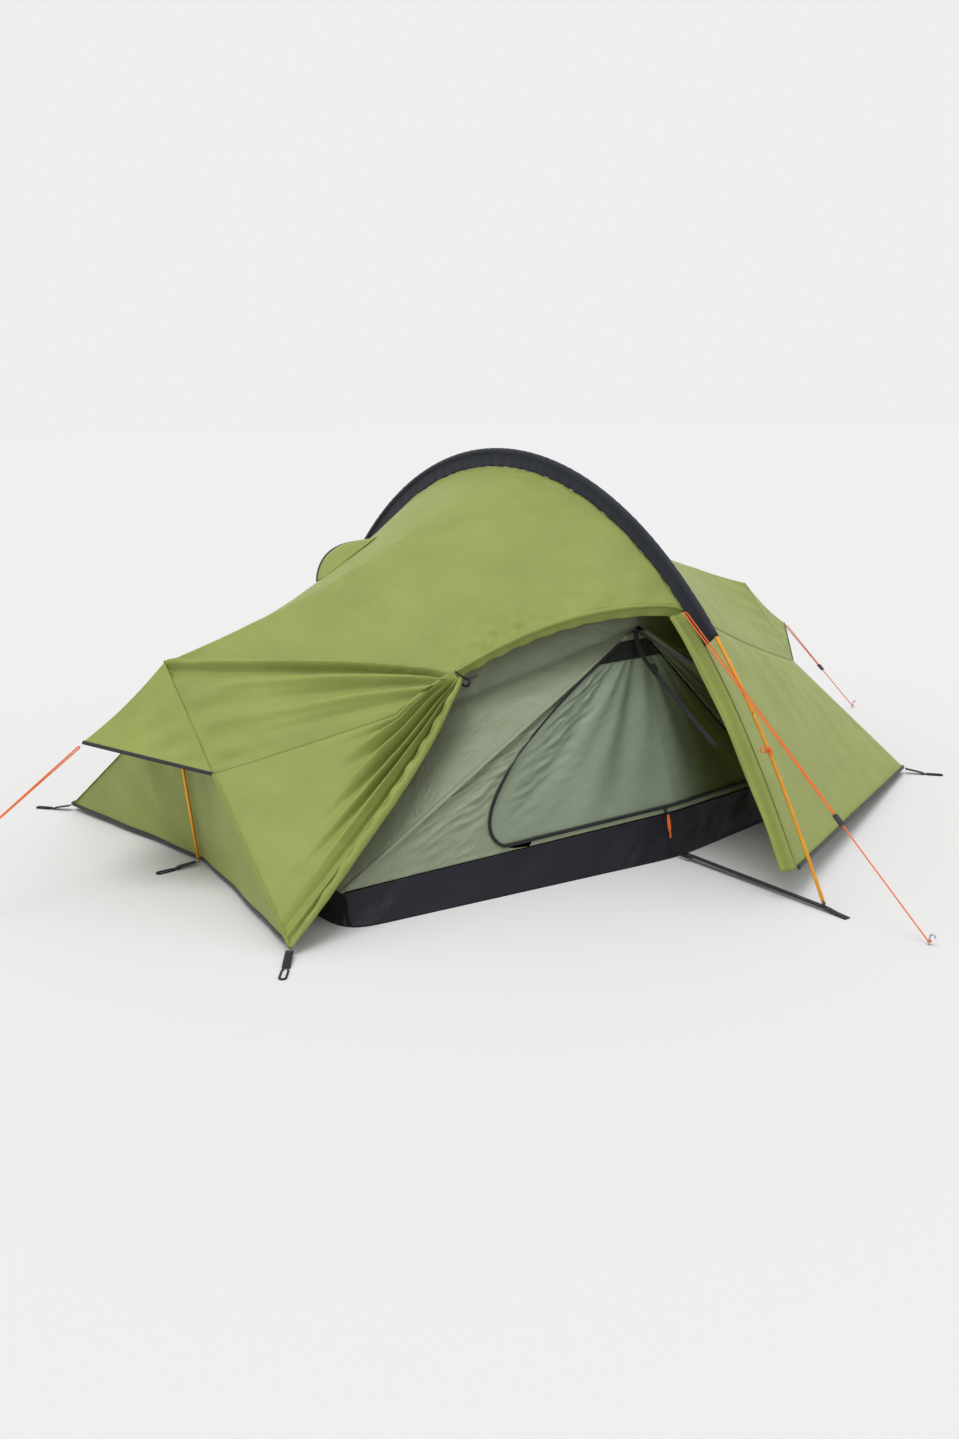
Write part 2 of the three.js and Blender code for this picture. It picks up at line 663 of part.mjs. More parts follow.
// The two ends of the inner, below its gables.
function makeInnerEnds() {
  const shoulderShare = 0.45; // across the end, where its top edge turns at the gable's shoulder
  const cornerTrim = 0.9; // the panel stops short of the floor's corners
  const inset = { x: 3, z: 7 }; // from the gable's edge
  for (const [name, side] of [["left", LEFT], ["right", RIGHT]]) {
    const surface = (u, v) => {
      const across = u < 0.5 ? NEAR : FAR;
      const share = Math.abs(2 * u - 1);
      const low = point(side * TUB_CORNER.x, across * TUB_CORNER.y * share * 0.92, TUB_CORNER.z + 12);
      const shoulder = corner(INNER_GABLE, side, across);
      const peak = corner(INNER_PEAK, side, across);
      const foot = corner(TUB_CORNER, side, across).add(point(0, 0, 4));
      const past = (share - shoulderShare) / (1 - shoulderShare);
      const top = share < shoulderShare
        ? mix(peak, shoulder, share / shoulderShare)
        : mix(shoulder, foot, past * cornerTrim);
      top.add(point(-side * inset.x, 0, -inset.z));
      return mix(low, top, 0.01 + 0.98 * v);
    };
    add(`inner_end_${name}`, "inner", panel(surface, 10, 4, point(0, 0, 200)));
  }
}

// ---- Webbing, buckles and peg loops ----

function box(width, length, height, at) {
  const geometry = new THREE.BoxGeometry(width, length, height);
  geometry.translate(at.x, at.y, at.z);
  return geometry;
}

// A flat plate with clipped corners, drawn in x and y, with slots [width, length, y] through it.
function plate(width, length, height, slots) {
  const outline = (w, l, middle, Kind) => {
    const clip = Math.min(w, l) * 0.2;
    const [x, y] = [w / 2, l / 2];
    const corners = [
      [clip - x, -y], [x - clip, -y], [x, clip - y], [x, y - clip],
      [x - clip, y], [clip - x, y], [-x, y - clip], [-x, clip - y],
    ];
    return new Kind(corners.map(([cx, cy]) => new THREE.Vector2(cx, middle + cy)));
  };
  const shape = outline(width, length, 0, THREE.Shape);
  for (const [w, l, middle] of slots) shape.holes.push(outline(w, l, middle, THREE.Path));
  return new THREE.ExtrudeGeometry(shape, { depth: height, bevelEnabled: false });
}

// On each side a strap holds the foot of the bent pole to the floor. It comes down from a ladder lock at
// the groundsheet, through an eyelet for the pole's pin, to a hole for a peg.
function makeFloorStraps() {
  const [lockY, eyeletY, pegY] = [811, ARCH_HALF_SPAN - 4, 1334];
  const eyeletRadius = 6.5;
  const bends = [[820, 15], [930, 13.5], [1090, 11.5], [1240, 9], [1284, 8], [1312, 4], [1350, 1.4]];
  for (const [name, across] of [["near", NEAR], ["far", FAR]]) {
    const run = bends.map(([y, z]) => point(0, across * y, z));
    const eyelet = new THREE.CylinderGeometry(eyeletRadius, eyeletRadius, 40, 12);
    eyelet.rotateX(Math.PI / 2);
    eyelet.translate(0, across * eyeletY, 8);
    const pegHole = box(PEG_SLOT.width, 16, 20, point(0, across * pegY, 3));
    add(`floor_strap_${name}`, "webbing", cut(strap(run), eyelet, pegHole));
    const lock = plate(27, 42, 4.4, [[21, 7, -12], [21, 6, 0], [21, 7, 12]]);
    lock.translate(0, across * lockY, 9);
    add(`ladder_lock_${name}`, "buckle", lock);
  }
}

// A webbing tab with a loop for a peg, lying on the ground and leading out from `from` towards `to`.
function makePegLoop(name, from, to) {
  const flat = point(to.x - from.x, to.y - from.y, 0);
  const length = flat.length();
  const loopLength = 64;
  const loop = plate(WEBBING_WIDTH, loopLength, 2.6, [[PEG_SLOT.width, PEG_SLOT.length, 4]]);
  loop.translate(0, length - loopLength / 2, 0);
  const tab = strap([point(0, 0, from.z), point(0, length - 70, 6), point(0, length - 58, 1.4)]);
  const mesh = add(`peg_loop_${name}`, "webbing", join(loop, tab));
  mesh.rotation.z = Math.atan2(flat.y, flat.x) - Math.PI / 2;
  mesh.position.set(from.x, from.y, 0);
}

function makePegLoops() {
  const cornerReach = { x: 74, y: 96 };
  const endReach = 118;
  for (const [sideName, side] of [["left", LEFT], ["right", RIGHT]]) {
    for (const [acrossName, across] of [["near", NEAR], ["far", FAR]]) {
      const from = point(side * (HEM_CORNER.x + 3), across * (HEM_CORNER.y + 4), HEM_CORNER.z - 4);
      const to = point(from.x + side * cornerReach.x, from.y + across * cornerReach.y, 0);
      makePegLoop(`${acrossName}_${sideName}`, from, to);
    }
    const foot = point(side * (END_FOOT_X + 8), 0, 9);
    makePegLoop(`end_${sideName}`, foot, point(foot.x + side * endReach, 0, 0));
  }
}

// ---- Small fittings ----

// Inside the porch two straps brace the bent pole against the inner's apex, with a buckle on the longer.
function makeTensionStrap() {
  const x = -34;
  const width = 14;
  const apex = point(x, -(INNER_APEX.y + 22), INNER_APEX.z - 4);
  const bend = point(x, -662, 548);
  const foot = point(x, -935, 352);
  const upper = strap([apex, bend], width);
  const lower = strap([mix(bend, apex, 0.01), foot], width);
  const short = strap([apex, point(x, -842, 560)], width);
  add("tension_strap", "webbing", join(upper, lower, short));
  const buckle = plate(20, 26, 4, [[15, 6, -6], [15, 6, 6]]);
  buckle.rotateX(Math.atan2(bend.z - foot.z, bend.y - foot.y));
  buckle.translate(x, -702, 523);
  add("tension_buckle", "buckle", buckle);
}

// The slider stands on the sill's left half. Its cord pull hangs down against the sloping floor edge, so
// it leans out a little.
function makeZip() {
  const at = innerWallPoint(NEAR, -0.04, DOOR_SILL / 2);
  const slider = box(9, 5, 12, point(at.x, at.y - 6, at.z + 2));
  add("door_zip_slider", "buckle", slider);
  const pullLength = 66;
  const lean = THREE.MathUtils.degToRad(10);
  const pull = plate(11, pullLength, 3, [[5, 40, 6]]);
  pull.translate(0, -pullLength / 2, 0);
  pull.rotateX(Math.PI / 2 - lean);
  pull.translate(at.x, at.y - 16, at.z - 9);
  add("zip_pull_cord", "cord", pull);
}

// The toggle that holds the door back goes through a loop at the seam.
function makeToggle() {
  const at = roofPoint(LEFT, -1 + doorArch(TIE_POINT_SHARE) - 0.02, TIE_POINT_SHARE);
  at.add(point(6, -34, -8)); // in front of the gathered cloth
  const barrel = [[0, 0], [2.6, 0], [3.4, 3], [2.6, 12], [3.4, 21], [2.6, 24], [0, 24]];
  add("tie_back_toggle", "buckle", turned(barrel, at, at.clone().add(point(10, -2, 3)), 10));
}

// A cord hitched round the bare part of the bent pole, with its two ends tied in a bow.
function makePoleHitch() {
  const along = SEAM_ARC * 0.485;
  const [inner, outer, halfHeight] = [5.6, 8.6, 5];
  const band = [
    [inner, 0],
    [outer, 0],
    [outer, 2 * halfHeight],
    [inner, 2 * halfHeight],
    [inner, 0],
  ];
  const hitch = turned(band, archPoint(along - halfHeight), archPoint(along + halfHeight), 10);
  const knot = archPoint(along);
  const ears = [-1, 1].map((side) => {
    const offsets = [[-7, -3, 2], [-15, side * 14 - 4, 8], [-13, side * 22 - 4, -8]];
    return rod(offsets.map((offset) => knot.clone().add(point(...offset))), CORD_RADIUS, 6);
  });
  add("pole_hitch_cord", "cord", join(hitch, ...ears));
}

// ---- Guylines ----

// A guyline runs doubled from the tent to its runner, and single from there to its peg.
function makeGuyline(name, top, foot, runnerShare, side) {
  const runner = mix(top, foot, runnerShare);
  const along = foot.clone().sub(top).normalize();
  const offset = (p, distance) => p.clone().addScaledVector(side, distance);
  const upper = [-1, 1].map((sign) =>
    rod([offset(top, sign * GUY_STRAND_GAP), offset(runner, sign * 1.5)], CORD_RADIUS, 6),
  );
  const bightReach = GUY_STRAND_GAP + 1;
  const bight = rod([offset(top, -bightReach), offset(top, bightReach)], CORD_RADIUS, 6);
  const tail = rod([runner.clone().addScaledVector(along, -10), foot], CORD_RADIUS, 6);
  add(`guyline_${name}`, "cord", join(...upper, bight, tail));
  const body = plate(14, 9, RUNNER_LENGTH, [[9, 5.6, 0]]);
  const up = new THREE.Vector3().crossVectors(along, side).normalize();
  body.applyMatrix4(new THREE.Matrix4().makeBasis(side, up, along));
  const start = runner.clone().addScaledVector(along, -RUNNER_LENGTH / 2);
  body.translate(start.x, start.y, start.z);
  add(`line_runner_${name}`, "buckle", body);
  const lean = point(along.x, along.y, 0).normalize();
  const stem = foot.clone().addScaledVector(lean, CORD_RADIUS + PEG_RADIUS + 0.45).setZ(0);
  const hook = [[0, 0], [0, 16], [2, 24], [10, 27], [15, 20]];
  const bend = hook.map(([out, rise]) => stem.clone().addScaledVector(lean, out).setZ(rise));
  const shaft = rod(bend, PEG_RADIUS, 8);
  const ground = box(60, 60, 20, point(stem.x, stem.y, -10));
  add(`guy_peg_${name}`, "peg", cut(shaft, ground));
}

function makeGuylines() {
  const acrossTent = point(0, 1, 0);
  const alongTent = point(1, 0, 0);
  const hoodLoop = { x: HOOD_TIP.x + 12, z: HOOD_TIP.z - 12 };
  makeGuyline("near", point(-22, -802, 684), point(22, -1554, 9), 0.66, alongTent);
  makeGuyline("right", point(hoodLoop.x, 0, hoodLoop.z), point(1808, 0, 9), 0.5, acrossTent);
  makeGuyline("left", point(-hoodLoop.x, 0, hoodLoop.z), point(-1930, 0, 9), 0.5, acrossTent);
}

makeArchPole();
makeSleeve();
makeEndPole(LEFT, "left");
makeEndPole(RIGHT, "right");
makeRoof(LEFT, "left");
makeRoof(RIGHT, "right");
makeWall(RIGHT, NEAR, "near_right");
makeWall(LEFT, FAR, "far_left");
makeWall(RIGHT, FAR, "far_right");
makeDoor();
makeStormFlap();
makeEnd(LEFT, "left");
makeEnd(RIGHT, "right");
makeHood(LEFT, "left");
makeHood(RIGHT, "right");
makeCowl();
makeGroundsheet();
makeInnerWalls();
makeInnerDoor();
makeInnerRoof();
makeInnerEnds();
makeFloorStraps();
makePegLoops();
makeTensionStrap();
makeZip();
makeToggle();
makePoleHitch();
makeGuylines();

export default tent;
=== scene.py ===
from math import cos, pi, radians, sin

import bpy
import numpy as np
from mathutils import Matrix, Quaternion, Vector


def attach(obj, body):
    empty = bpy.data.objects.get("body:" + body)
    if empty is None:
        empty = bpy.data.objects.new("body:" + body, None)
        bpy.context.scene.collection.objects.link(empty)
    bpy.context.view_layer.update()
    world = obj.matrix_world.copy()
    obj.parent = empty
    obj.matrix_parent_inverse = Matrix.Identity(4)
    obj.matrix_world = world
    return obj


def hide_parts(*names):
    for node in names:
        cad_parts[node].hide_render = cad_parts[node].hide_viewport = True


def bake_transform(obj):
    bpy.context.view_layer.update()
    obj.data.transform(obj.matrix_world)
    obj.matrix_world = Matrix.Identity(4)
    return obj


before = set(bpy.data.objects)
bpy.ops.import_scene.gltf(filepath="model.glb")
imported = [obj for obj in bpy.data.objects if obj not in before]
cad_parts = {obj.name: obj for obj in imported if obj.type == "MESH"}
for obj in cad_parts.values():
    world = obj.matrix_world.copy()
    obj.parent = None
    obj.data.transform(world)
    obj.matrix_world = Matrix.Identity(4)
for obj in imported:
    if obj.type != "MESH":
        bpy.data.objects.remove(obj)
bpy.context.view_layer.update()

# The tent's driving dimensions, in metres. +X runs along it, -Y is the side with the porch.
ARCH_HEIGHT = 1.080
ARCH_HALF_SPAN = 1.284
ARCH_FOOT_ANGLE = 1.095
POLE_RADIUS = 0.00475
POLE_SECTIONS = 7
TIP_SHOULDER = 0.022
SLEEVE_DEPTH = 0.045
SLEEVE_END_Z = 0.631
SEAM_ARC = 0.869
HEM_ARC = 0.116
RIDGE_SAG = 0.050
SEAM_SAG = 0.014
HEM_CORNER = (1.169, 0.689, 0.020)
HOOD_CORNER = (1.123, 0.241, 0.323)
HOOD_TIP = (1.362, 0.0, 0.397)
PEAK = (1.126, 0.0, 0.575)
END_FOOT_X = 1.068
END_PANEL_SET_BACK = 0.014
FLOOR_CORNER = (0.998, 0.650, 0.0)
FLOOR_SIDE_Y = 0.786
TUB_CORNER = (0.975, 0.600, 0.076)
TUB_SIDE = (0.0, 0.768, 0.128)
INNER_APEX = (0.0, 0.604, 0.624)
INNER_TOP_Z = 0.968
INNER_PEAK = (1.046, 0.0, 0.484)
INNER_GABLE = (1.030, 0.205, 0.288)
TIE_POINT_SHARE = 0.47
DOOR_ARCH = 0.142
DOOR_ARCH_REACH = 0.62
DOOR_RIGHT = 0.5
DOOR_SILL = 0.03
DOOR_TOP = 0.93
DOOR_GAP = 0.006
MESH_FOOT = 0.83
WALL_TOP = 0.97
CLOTH = 0.0008
CORD_RADIUS = 0.00175
RIPSTOP_PITCH = 0.006
LEFT, RIGHT, NEAR, FAR = -1, 1, -1, 1


# ---- The camera ----

def add_camera():
    data = bpy.data.cameras.new("camera")
    data.lens = 32.197
    data.sensor_width = 36
    camera = bpy.data.objects.new("camera", data)
    bpy.context.scene.collection.objects.link(camera)
    camera.location = (-2.4726, -3.1282, 1.2405)
    target = Vector((-0.1002, -0.0086, 0.2567))
    aim = (target - camera.location).to_track_quat("-Z", "Y")
    roll = Quaternion((0, 0, 1), radians(-0.5573))
    camera.rotation_mode = "QUATERNION"
    camera.rotation_quaternion = aim @ roll
    bpy.context.scene.camera = camera


# ---- The tent's curves and surfaces ----

def at(x, y, z):
    return np.array([x, y, z], float)


def corner(point, side, across):
    """A point given for one corner, moved to another. side and across may be grids."""
    side, across = np.broadcast_arrays(np.asarray(side, float), np.asarray(across, float))
    return np.stack([side * point[0], across * point[1], np.full(side.shape, point[2])], -1)


def mix(a, b, share):
    share = np.asarray(share, float)[..., None]
    return a + (b - a) * share


def unit(v):
    return v / np.linalg.norm(v, axis=-1, keepdims=True)


def grid(u, v):
    return np.meshgrid(u, v, indexing="ij")


def bent_edge(first, middle, last, turn, share):
    """The point at share along two straight lines that meet in the middle one, where share is turn."""
    start = mix(first, middle, np.clip(share / turn, 0, 1))
    rest = mix(middle, last, np.clip((share - turn) / (1 - turn), 0, 1))
    return np.where((share < turn)[..., None], start, rest)


def sample_arch(count=2000):
    """The elastica that a springy pole takes between its two feet."""
    foot = cos(ARCH_FOOT_ANGLE)
    bend = 2 * (1 - foot) / ARCH_HEIGHT**2
    turn = (pi / 2) * ((np.arange(count) + 0.5) / count * 2 - 1)
    slope = ARCH_FOOT_ANGLE * np.sin(turn)
    slope_step = ARCH_FOOT_ANGLE * np.cos(turn) * pi / count
    length = slope_step / (bend * np.sqrt(2 * (np.cos(slope) - foot) / bend))
    y = np.concatenate([[0], np.cumsum(np.cos(slope) * length)])
    z = np.concatenate([[0], np.cumsum(-np.sin(slope) * length)])
    y = (y / y[-1] - 0.5) * 2 * ARCH_HALF_SPAN
    along = np.concatenate([[0], np.cumsum(np.hypot(np.diff(y), np.diff(z)))])
    return along, y, z


ARCH_S, ARCH_Y, ARCH_Z = sample_arch()
ARCH_LENGTH = ARCH_S[-1]
SLEEVE_ARC = ARCH_S[np.argmax(ARCH_Z > SLEEVE_END_Z)]


def arch_point(along, inset=0.0):
    along = np.asarray(along, float)
    y, z = np.interp(along, ARCH_S, ARCH_Y), np.interp(along, ARCH_S, ARCH_Z)
    step = 0.002
    dy = np.interp(along + step, ARCH_S, ARCH_Y) - np.interp(along - step, ARCH_S, ARCH_Y)
    dz = np.interp(along + step, ARCH_S, ARCH_Z) - np.interp(along - step, ARCH_S, ARCH_Z)
    size = np.hypot(dy, dz)
    return np.stack([np.zeros_like(y), y + dz / size * inset, z - dy / size * inset], -1)


def roof_point(side, s, t):
    """s runs from the near seam (-1) over the ridge to the far one (1), t from the bent pole to the peak."""
    s, t = np.broadcast_arrays(np.asarray(s, float), np.asarray(t, float))
    start = arch_point(ARCH_LENGTH / 2 + s * (ARCH_LENGTH / 2 - SEAM_ARC), SLEEVE_DEPTH)
    end = mix(corner(PEAK, side, 0), corner(HOOD_CORNER, side, np.sign(s)), np.abs(s))
    p = mix(start, end, t)
    p[..., 2] -= 4 * (RIDGE_SAG + (SEAM_SAG - RIDGE_SAG) * np.abs(s)) * t * (1 - t)
    return p


def wall_point(side, across, v, t):
    v, t = np.broadcast_arrays(np.asarray(v, float), np.asarray(t, float))
    start = arch_point(SEAM_ARC + (HEM_ARC - SEAM_ARC) * v, SLEEVE_DEPTH)
    start[..., 1] *= -across
    end = mix(corner(HOOD_CORNER, side, across), corner(HEM_CORNER, side, across), v)
    p = mix(start, end, t)
    p[..., 2] -= 4 * SEAM_SAG * t * (1 - t) * (1 - v)
    return p


def fly_point(side, w, t):
    """The whole fly beside the bent pole: the near wall to w = -1, the roof to 1, the far wall to 2."""
    w, t = np.broadcast_arrays(np.asarray(w, float), np.asarray(t, float))
    roof = roof_point(side, np.clip(w, -1, 1), t)
    near = wall_point(side, NEAR, np.clip(-1 - w, 0, 1), t)
    far = wall_point(side, FAR, np.clip(w - 1, 0, 1), t)
    return np.where((w < -1)[..., None], near, np.where((w > 1)[..., None], far, roof))


def door_arch(t):
    """How far the doorway's top edge rises above the near seam."""
    t = np.asarray(t, float)
    rise = np.clip(np.sin(pi * np.clip(t, 0, DOOR_ARCH_REACH) / DOOR_ARCH_REACH), 0, 1) ** 0.7
    return np.where(t < DOOR_ARCH_REACH, DOOR_ARCH * rise, 0)


def inner_wall_point(across, share, rise):
    share, rise = np.broadcast_arrays(np.asarray(share, float), np.asarray(rise, float))
    middle = corner(TUB_SIDE, 1, across)
    low = np.stack([
        share * TUB_CORNER[0],
        middle[1] + (across * TUB_CORNER[1] - middle[1]) * np.abs(share),
        middle[2] + (TUB_CORNER[2] - middle[2]) * np.abs(share),
    ], -1)
    p = mix(low, corner(INNER_APEX, 1, across), rise)
    p[..., 2] += 0.003 * (1 - rise)
    return p


# ---- Meshes ----

def link(name, vertices, faces, uvs=None, smooth=True):
    mesh = bpy.data.meshes.new(name)
    mesh.from_pydata([tuple(v) for v in vertices], [], [tuple(int(i) for i in f) for f in faces])
    if uvs is not None:
        layer = mesh.uv_layers.new(name="UVMap")
        corners = np.zeros(len(mesh.loops), int)
        mesh.loops.foreach_get("vertex_index", corners)
        layer.data.foreach_set("uv", np.asarray(uvs, float)[corners].ravel())
    mesh.polygons.foreach_set("use_smooth", [smooth] * len(mesh.polygons))
    mesh.update()
    piece = bpy.data.objects.new(name, mesh)
    bpy.context.scene.collection.objects.link(piece)
    return piece


def grid_normals(p):
    du = np.gradient(p, axis=0)
    dv = np.gradient(p, axis=1)
    normal = np.cross(du, dv)
    size = np.linalg.norm(normal, axis=-1, keepdims=True)
    return normal / np.maximum(size, 1e-12)


def grid_lengths(p):
    """How far each point lies along its column and its row, in metres: the cloth's own coordinates."""
    down = np.cumsum(np.linalg.norm(np.diff(p, axis=0), axis=-1), 0)
    along = np.cumsum(np.linalg.norm(np.diff(p, axis=1), axis=-1), 1)
    return np.pad(down, ((1, 0), (0, 0))), np.pad(along, ((0, 0), (1, 0)))


def grid_area(p):
    a, b, c, d = p[:-1, :-1], p[1:, :-1], p[1:, 1:], p[:-1, 1:]
    twice = np.linalg.norm(np.cross(b - a, c - a), axis=-1) + np.linalg.norm(np.cross(c - a, d - a), axis=-1)
    return 0.5 * twice.sum()


def shell(p, thickness, inside):
    """A closed sheet from a grid of points on its outer face."""
    normal = grid_normals(p)
    towards = np.asarray(inside, float) - p.reshape(-1, 3).mean(0)
    inwards = 1 if (normal.reshape(-1, 3).mean(0) @ towards) > 0 else -1
    back = p + normal * thickness * inwards
    m, n = p.shape[:2]
    index = np.arange(m * n).reshape(m, n)
    a, b, c, d = index[:-1, :-1], index[1:, :-1], index[1:, 1:], index[:-1, 1:]
    front = np.stack([a, b, c, d], -1).reshape(-1, 4)
    if inwards > 0:
        front = front[:, ::-1]
    count = m * n
    border = np.concatenate([index[:-1, 0], index[-1, :-1], index[:0:-1, -1], index[0, :0:-1]])
    following = np.roll(border, -1)
    rim = np.stack([border, border + count, following + count, following], -1)
    if inwards > 0:
        rim = rim[:, ::-1]
    faces = np.concatenate([front, front[:, ::-1] + count, rim])
    u, v = grid_lengths(p)
    uv = np.stack([u, v], -1).reshape(-1, 2)
    return np.concatenate([p.reshape(-1, 3), back.reshape(-1, 3)]), faces, np.concatenate([uv, uv])


def merge(parts):
    vertices, faces, uvs, start = [], [], [], 0
    for v, f, uv in parts:
        vertices.append(v)
        faces.extend((np.asarray(face) + start).tolist() for face in f)
        uvs.append(uv)
        start += len(v)
    return np.concatenate(vertices), faces, np.concatenate(uvs)


def finish_piece(piece, material, nodes=(), body="tent"):
    piece.data.materials.clear()
    piece.data.materials.append(material)
    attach(piece, body)
    if nodes:
        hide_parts(*nodes)
    return piece


def cloth(name, grids, material, nodes, inside=(0, 0, 0.25), body="tent",
          thickness=CLOTH):
    """A sheet of cloth made of one or more grids. Its flat size is the cloth's own length and width."""
    grids = [grids] if isinstance(grids, np.ndarray) else grids
    piece = link(name, *merge([shell(p, thickness, inside) for p in grids]))
    finish_piece(piece, material, nodes, body)
    area = sum(grid_area(p) for p in grids)
    width = sum(grid_lengths(p)[0].max() for p in grids)
    length = max(grid_lengths(p)[1].max() for p in grids)
    if width * length > 3 * area:
        width = 3 * area / length
    flat = (round(float(width), 3), round(float(length), 3))
    area = min(float(area), 0.999 * flat[0] * flat[1])


def frames(path):
    """A steady pair of side directions along a path."""
    path = np.asarray(path, float)
    tangent = unit(np.gradient(path, axis=0))
    side = np.cross(tangent[0], at(0, 0, 1))
    if np.linalg.norm(side) < 1e-3:
        side = np.cross(tangent[0], at(1, 0, 0))
    sides = []
    for direction in tangent:
        side = side - direction * (side @ direction)
        side = side / np.linalg.norm(side)
        sides.append(side)
    sides = np.array(sides)
    return sides, np.cross(tangent, sides)


def ring_faces(count, sides):
    """The quads between neighbouring rings of points, with the points' numbers and their next ones around."""
    index = np.arange(count * sides).reshape(count, sides)
    turn = np.roll(index, -1, 1)
    quads = np.stack([index[:-1], turn[:-1], turn[1:], index[1:]], -1).reshape(-1, 4)
    return quads, index, turn


def capped_faces(count, sides):
    quads, index, _ = ring_faces(count, sides)
    return quads.tolist() + [index[0][::-1].tolist(), index[-1].tolist()]


def ring_uvs(around, path):
    along = np.concatenate([[0], np.cumsum(np.linalg.norm(np.diff(path, axis=0), axis=1))])
    return np.stack(np.broadcast_arrays(around[None], along[:, None]), -1).reshape(-1, 2)


def tube_parts(path, radius, sides=16, closed=False):
    path = np.asarray(path, float)
    radius = np.broadcast_to(np.asarray(radius, float), (len(path),))
    across, up = frames(path)
    angle = np.arange(sides) * 2 * pi / sides
    ring = np.cos(angle)[None, :, None] * across[:, None] + np.sin(angle)[None, :, None] * up[:, None]
    points = path[:, None] + ring * radius[:, None, None]
    quads, index, turn = ring_faces(len(path), sides)
    faces = quads[:, ::-1].tolist()
    if closed:
        faces += np.stack([index[-1], turn[-1], turn[0], index[0]], -1)[:, ::-1].tolist()
    else:
        faces += [index[0].tolist(), index[-1][::-1].tolist()]
    return points.reshape(-1, 3), faces, ring_uvs(angle / (2 * pi) * 0.03, path)


def ribbon_parts(path, width, thickness, across):
    """Flat webbing along a path, with softened edges. across is its width's direction."""
    path = np.asarray(path, float)
    across = np.broadcast_to(unit(np.asarray(across, float)), path.shape)
    tangent = unit(np.gradient(path, axis=0))
    up = unit(np.cross(tangent, across))
    across = unit(np.cross(up, tangent))
    w, h = width / 2, thickness / 2
    soft = min(h, w * 0.2)
    profile = [(-w, 0), (-w + soft, -h), (w - soft, -h), (w, 0), (w - soft, h), (-w + soft, h)]
    points = np.stack([path + across * x + up * y for x, y in profile], 1)
    places = np.array([x for x, _ in profile])
    return points.reshape(-1, 3), capped_faces(*points.shape[:2]), ring_uvs(places, path)


def smooth_path(points, count):
    """A Catmull-Rom curve through given points."""
    points = np.asarray(points, float)
    padded = np.concatenate([[2 * points[0] - points[1]], points, [2 * points[-1] - points[-2]]])
    out = []
    for place in np.linspace(0, len(points) - 1, count):
        i = min(int(place), len(points) - 2)
        u = place - i
        a, b, c, d = padded[i:i + 4]
        square, cube = 2 * a - 5 * b + 4 * c - d, 3 * b - a - 3 * c + d
        out.append(0.5 * (2 * b + (c - a) * u + square * u**2 + cube * u**3))
    return np.array(out)


def lathe_parts(profile, start, end, sides=24):
    """A turned piece from (radius, distance) pairs along the line from start towards end."""
    start, end = np.asarray(start, float), np.asarray(end, float)
    axis = unit(end - start)
    side = unit(np.cross(axis, at(0.3, 0.9, 0.2)))
    up = np.cross(axis, side)
    angle = np.arange(sides) * 2 * pi / sides
    ring = np.cos(angle)[:, None] * side + np.sin(angle)[:, None] * up
    points = np.array([start + axis * d + ring * r for r, d in profile])
    uv = np.array([[a * 0.005, d] for _, d in profile for a in angle])
    return points.reshape(-1, 3), capped_faces(len(profile), sides), uv


# ---- Materials ----

def blank(name):
    material = bpy.data.materials.new(name)
    material.use_nodes = True
    return material, material.node_tree, material.node_tree.nodes["Principled BSDF"]


def add_node(tree, kind, **values):
    node = tree.nodes.new(kind)
    for key, value in values.items():
        if key in node.inputs:
            node.inputs[key].default_value = value
        else:
            setattr(node, key, value)
    return node


def tinted(tree, vector, colour, scale, spread):
    """The colour, lighter and darker in soft patches."""
    noise = add_node(tree, "ShaderNodeTexNoise", Scale=scale, Detail=4.0, Roughness=0.6)
    tree.links.new(vector, noise.inputs["Vector"])
    ramp = tree.nodes.new("ShaderNodeValToRGB")
    for element, place, gain in zip(ramp.color_ramp.elements, (0.3, 0.7), (1 - spread, 1 + spread)):
        element.position = place
        element.color = (*[c * gain for c in colour], 1)
    tree.links.new(noise.outputs["Fac"], ramp.inputs["Fac"])
    return ramp.outputs["Color"]


def maths(tree, operation, first, second):
    node = add_node(tree, "ShaderNodeMath", operation=operation)
    tree.links.new(first, node.inputs[0])
    if isinstance(second, float):
        node.inputs[1].default_value = second
    else:
        tree.links.new(second, node.inputs[1])
    return node.outputs[0]


def bands(tree, vector, spacing):
    """Waves along and across the cloth, spacing metres apart."""
    waves = []
    for direction in ("X", "Y"):
        wave = add_node(tree, "ShaderNodeTexWave", Scale=0.314 / spacing)
        wave.bands_direction = direction
        tree.links.new(vector, wave.inputs["Vector"])
        waves.append(wave.outputs["Fac"])
    return waves


